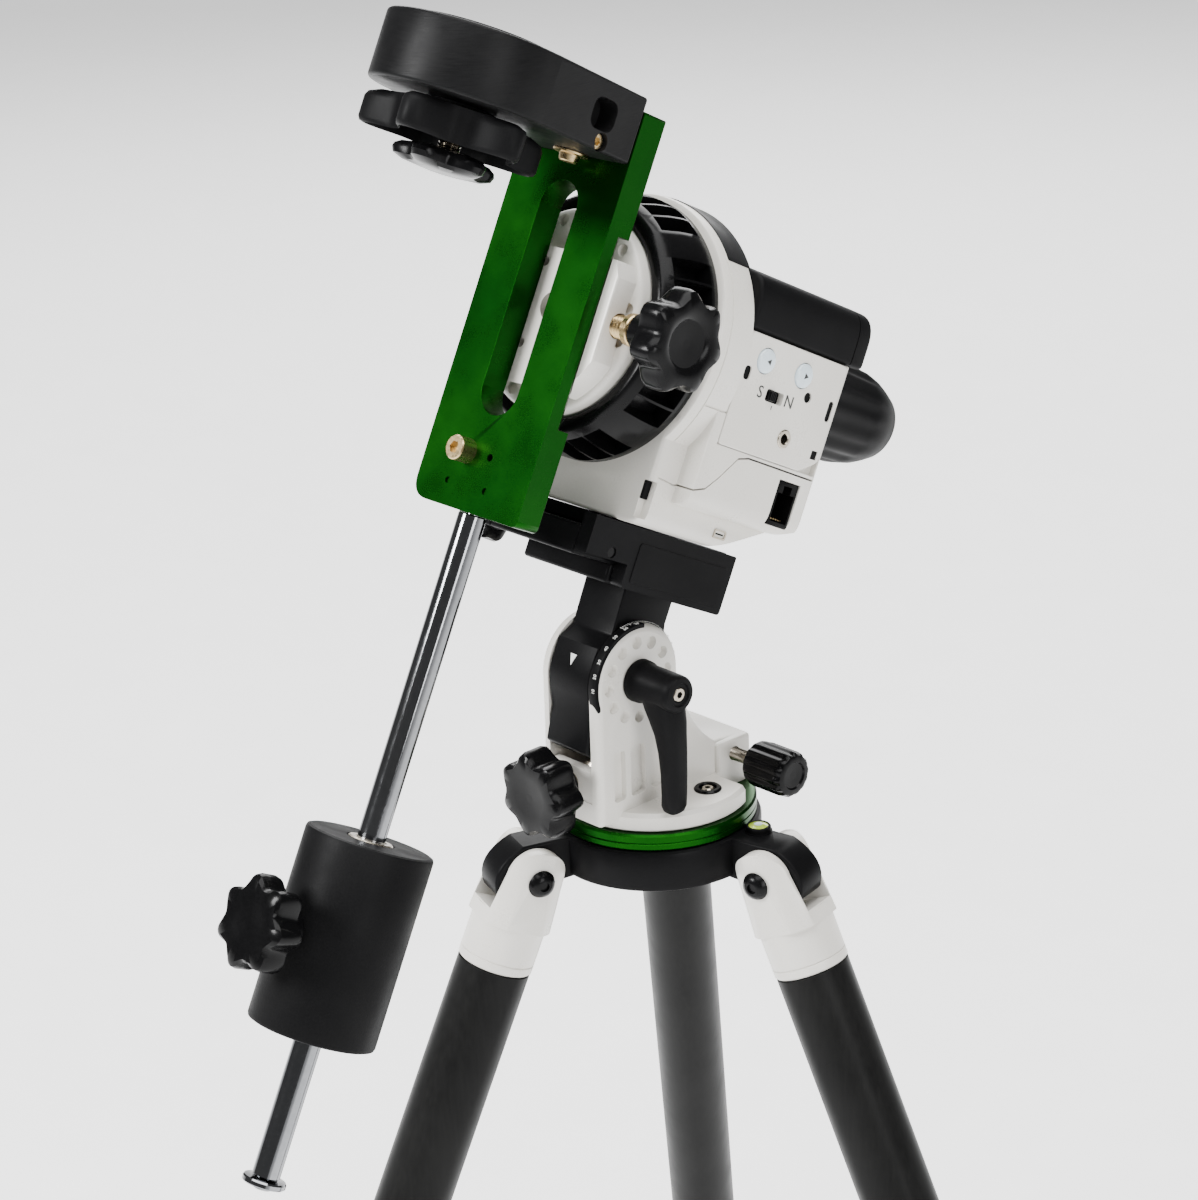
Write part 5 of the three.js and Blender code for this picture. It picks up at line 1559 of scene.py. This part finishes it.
    def _declination_wheels(self) -> None:
        """Build the clutch wheel and the lock knob below the declination block."""
        at, low = (0.0, self.s.dec_ahead), self.s.dec_low
        skirt = [(8.6, low - 4.6, 0), (8.6, low - 0.3, 0), (14, low - 0.3, 0), (14.4, low - 2, 0),
                 (24, low - 2.2, 0.06),
                 (33, low - 2.8, 0.24), (37.4, low - 4.4, 0.33), (38.6, low - 6.4, 0.36),
                 (38.6, low - 15, 0.37),
                 (37.8, low - 16.4, 0.36), (36, low - 17, 0.33), (34.8, low - 16, 0.31),
                 (34.4, low - 6.6, 0.3),
                 (14, low - 6.3, 0), (8.6, low - 6.2, 0)]
        self._add("dec_clutch_grip", lobed(Axis.Z, skirt, 5, at, 28, 1.7), "dec_clutch_wheel",
                  "matte_black_plastic",
                  ["dec_clutch_wheel"], slot="gloss_black_plastic", crease=45)
        wing = [(4.8, low - 17.6, 0), (9, low - 17.8, 0), (14, low - 18.6, 0.1), (19, low - 19.4, 0.24),
                (21.4, low - 20.8, 0.3),
                (22, low - 22.4, 0.32), (21, low - 24.6, 0.3), (17, low - 26.2, 0.22), (10, low - 27, 0.05),
                (2, low - 27, 0)]
        knob = lobed(Axis.Z, wing, 5, at, 20)
        self._add("dec_lock_grip", knob, "dec_lock_knob", "gloss_black_plastic", ["dec_lock_knob"])
        stud = thread(Axis.Z, 4.6, low - 19, self.s.dec_high + 0.9, at, 1.4, 0.5)
        self._add("dec_stud", stud, "dec_lock_knob", "steel")


# ---- studio ---------------------------------------------------------------------------------
@dataclass(frozen=True)
class Lamp:
    """A soft rectangular light."""

    name: str
    spot: Spot
    size: Point
    power: float


@dataclass(frozen=True)
class CameraSizes:
    """Where the camera stands: angles in degrees, lengths in metres."""

    azimuth: float = 47.72
    elevation: float = 20.99
    roll: float = -2.3
    distance: float = 1.363
    lens: float = 94.01
    aim_up: float = 0.11595
    aim_right: float = -0.02166


class Studio:
    """A pale floor, soft lights and the camera."""

    FLOOR_GLOW = 0.8
    ROOM_STRENGTH = 0.16
    LAMPS = (
        Lamp("key", (-0.9, -2.1, 2.1), (0.9, 0.9), 125.0),
        Lamp("fill", (2.6, -0.5, 1.5), (0.9, 1.6), 40.0),
        Lamp("top", (0.2, -0.1, 2.9), (2.4, 2.4), 120.0),
        Lamp("sweep", (-2.2, 2.4, 2.8), (3.0, 3.0), 180.0),
    )

    def __init__(self, places: Places, camera: CameraSizes = CameraSizes()) -> None:
        """Keep the place that the camera aims from."""
        self.places, self.camera = places, camera

    def build(self) -> None:
        """Build the floor, the lights and the camera."""
        self._floor()
        self._world()
        middle_height = 0.6
        for lamp in self.LAMPS:
            light = bpy.data.lights.new(lamp.name, "AREA")
            light.shape, light.size, light.size_y, light.energy = "RECTANGLE", *lamp.size, lamp.power
            holder = bpy.data.objects.new(lamp.name, light)
            holder.location = lamp.spot
            aim = Vector((0, 0, middle_height)) - Vector(lamp.spot)
            holder.rotation_euler = aim.to_track_quat("-Z", "Y").to_euler()
            bpy.context.scene.collection.objects.link(holder)
        self._camera()

    def _floor(self) -> None:
        """Build a wide pale floor."""
        mesh = bpy.data.meshes.new("floor")
        far = 30.0
        mesh.from_pydata([(-far, -far, 0), (far, -far, 0), (far, far, 0), (-far, far, 0)], [],
                         [(0, 1, 2, 3)])
        floor = bpy.data.objects.new("floor", mesh)
        bpy.context.scene.collection.objects.link(floor)
        paint = Coat("floor_paint", (0.86, 0.86, 0.86), (0.90, 0.90, 0.90), (0.75, 0.9), grain=3.0,
                     relief=0.0,
                     extra=(("emission_color", (1.0, 1.0, 1.0, 1.0)),
                            ("emission_strength", self.FLOOR_GLOW))).build()
        floor.data.materials.append(paint)

    def _world(self) -> None:
        """Light the room evenly from all round."""
        world = bpy.data.worlds.new("room")
        world.use_nodes = True
        background = world.node_tree.nodes["Background"]
        background.inputs["Color"].default_value = (1.0, 1.0, 1.0, 1.0)
        background.inputs["Strength"].default_value = self.ROOM_STRENGTH
        bpy.context.scene.world = world

    def _camera(self) -> None:
        """Place the camera."""
        c = self.camera
        a, e, roll = (math.radians(v) for v in (c.azimuth, c.elevation, c.roll))
        back = Vector((math.cos(e) * math.sin(a), -math.cos(e) * math.cos(a), math.sin(e)))
        level = Vector((math.cos(a), math.sin(a), 0))
        over = back.cross(level)
        right = level * math.cos(roll) + over * math.sin(roll)
        up = over * math.cos(roll) - level * math.sin(roll)
        aim = self.places.base.point(0, 0, 0) + Vector((0, 0, c.aim_up)) + level * c.aim_right
        turn = Matrix((right, up, back)).transposed().to_4x4()
        data = bpy.data.cameras.new("camera")
        data.sensor_fit, data.sensor_width, data.lens = "HORIZONTAL", 36.0, c.lens
        data.clip_start, data.clip_end = 0.05, 100.0
        holder = bpy.data.objects.new("camera", data)
        holder.matrix_world = Matrix.Translation(aim + back * c.distance) @ turn
        bpy.context.scene.collection.objects.link(holder)
        bpy.context.scene.camera = holder


def main() -> None:
    """Build the mount's looks and its studio."""
    logging.basicConfig(level=logging.INFO, format="%(name)s: %(message)s")
    places, shop = Places(), Workshop(Finishes())
    for maker in (Tripod, AzimuthBase, Arm, PolarUnit, PolarHead):
        maker(shop, places).build()
        LOG.info("%s is done", maker.__name__)
    Studio(places).build()


if __name__ == "__main__":
    main()
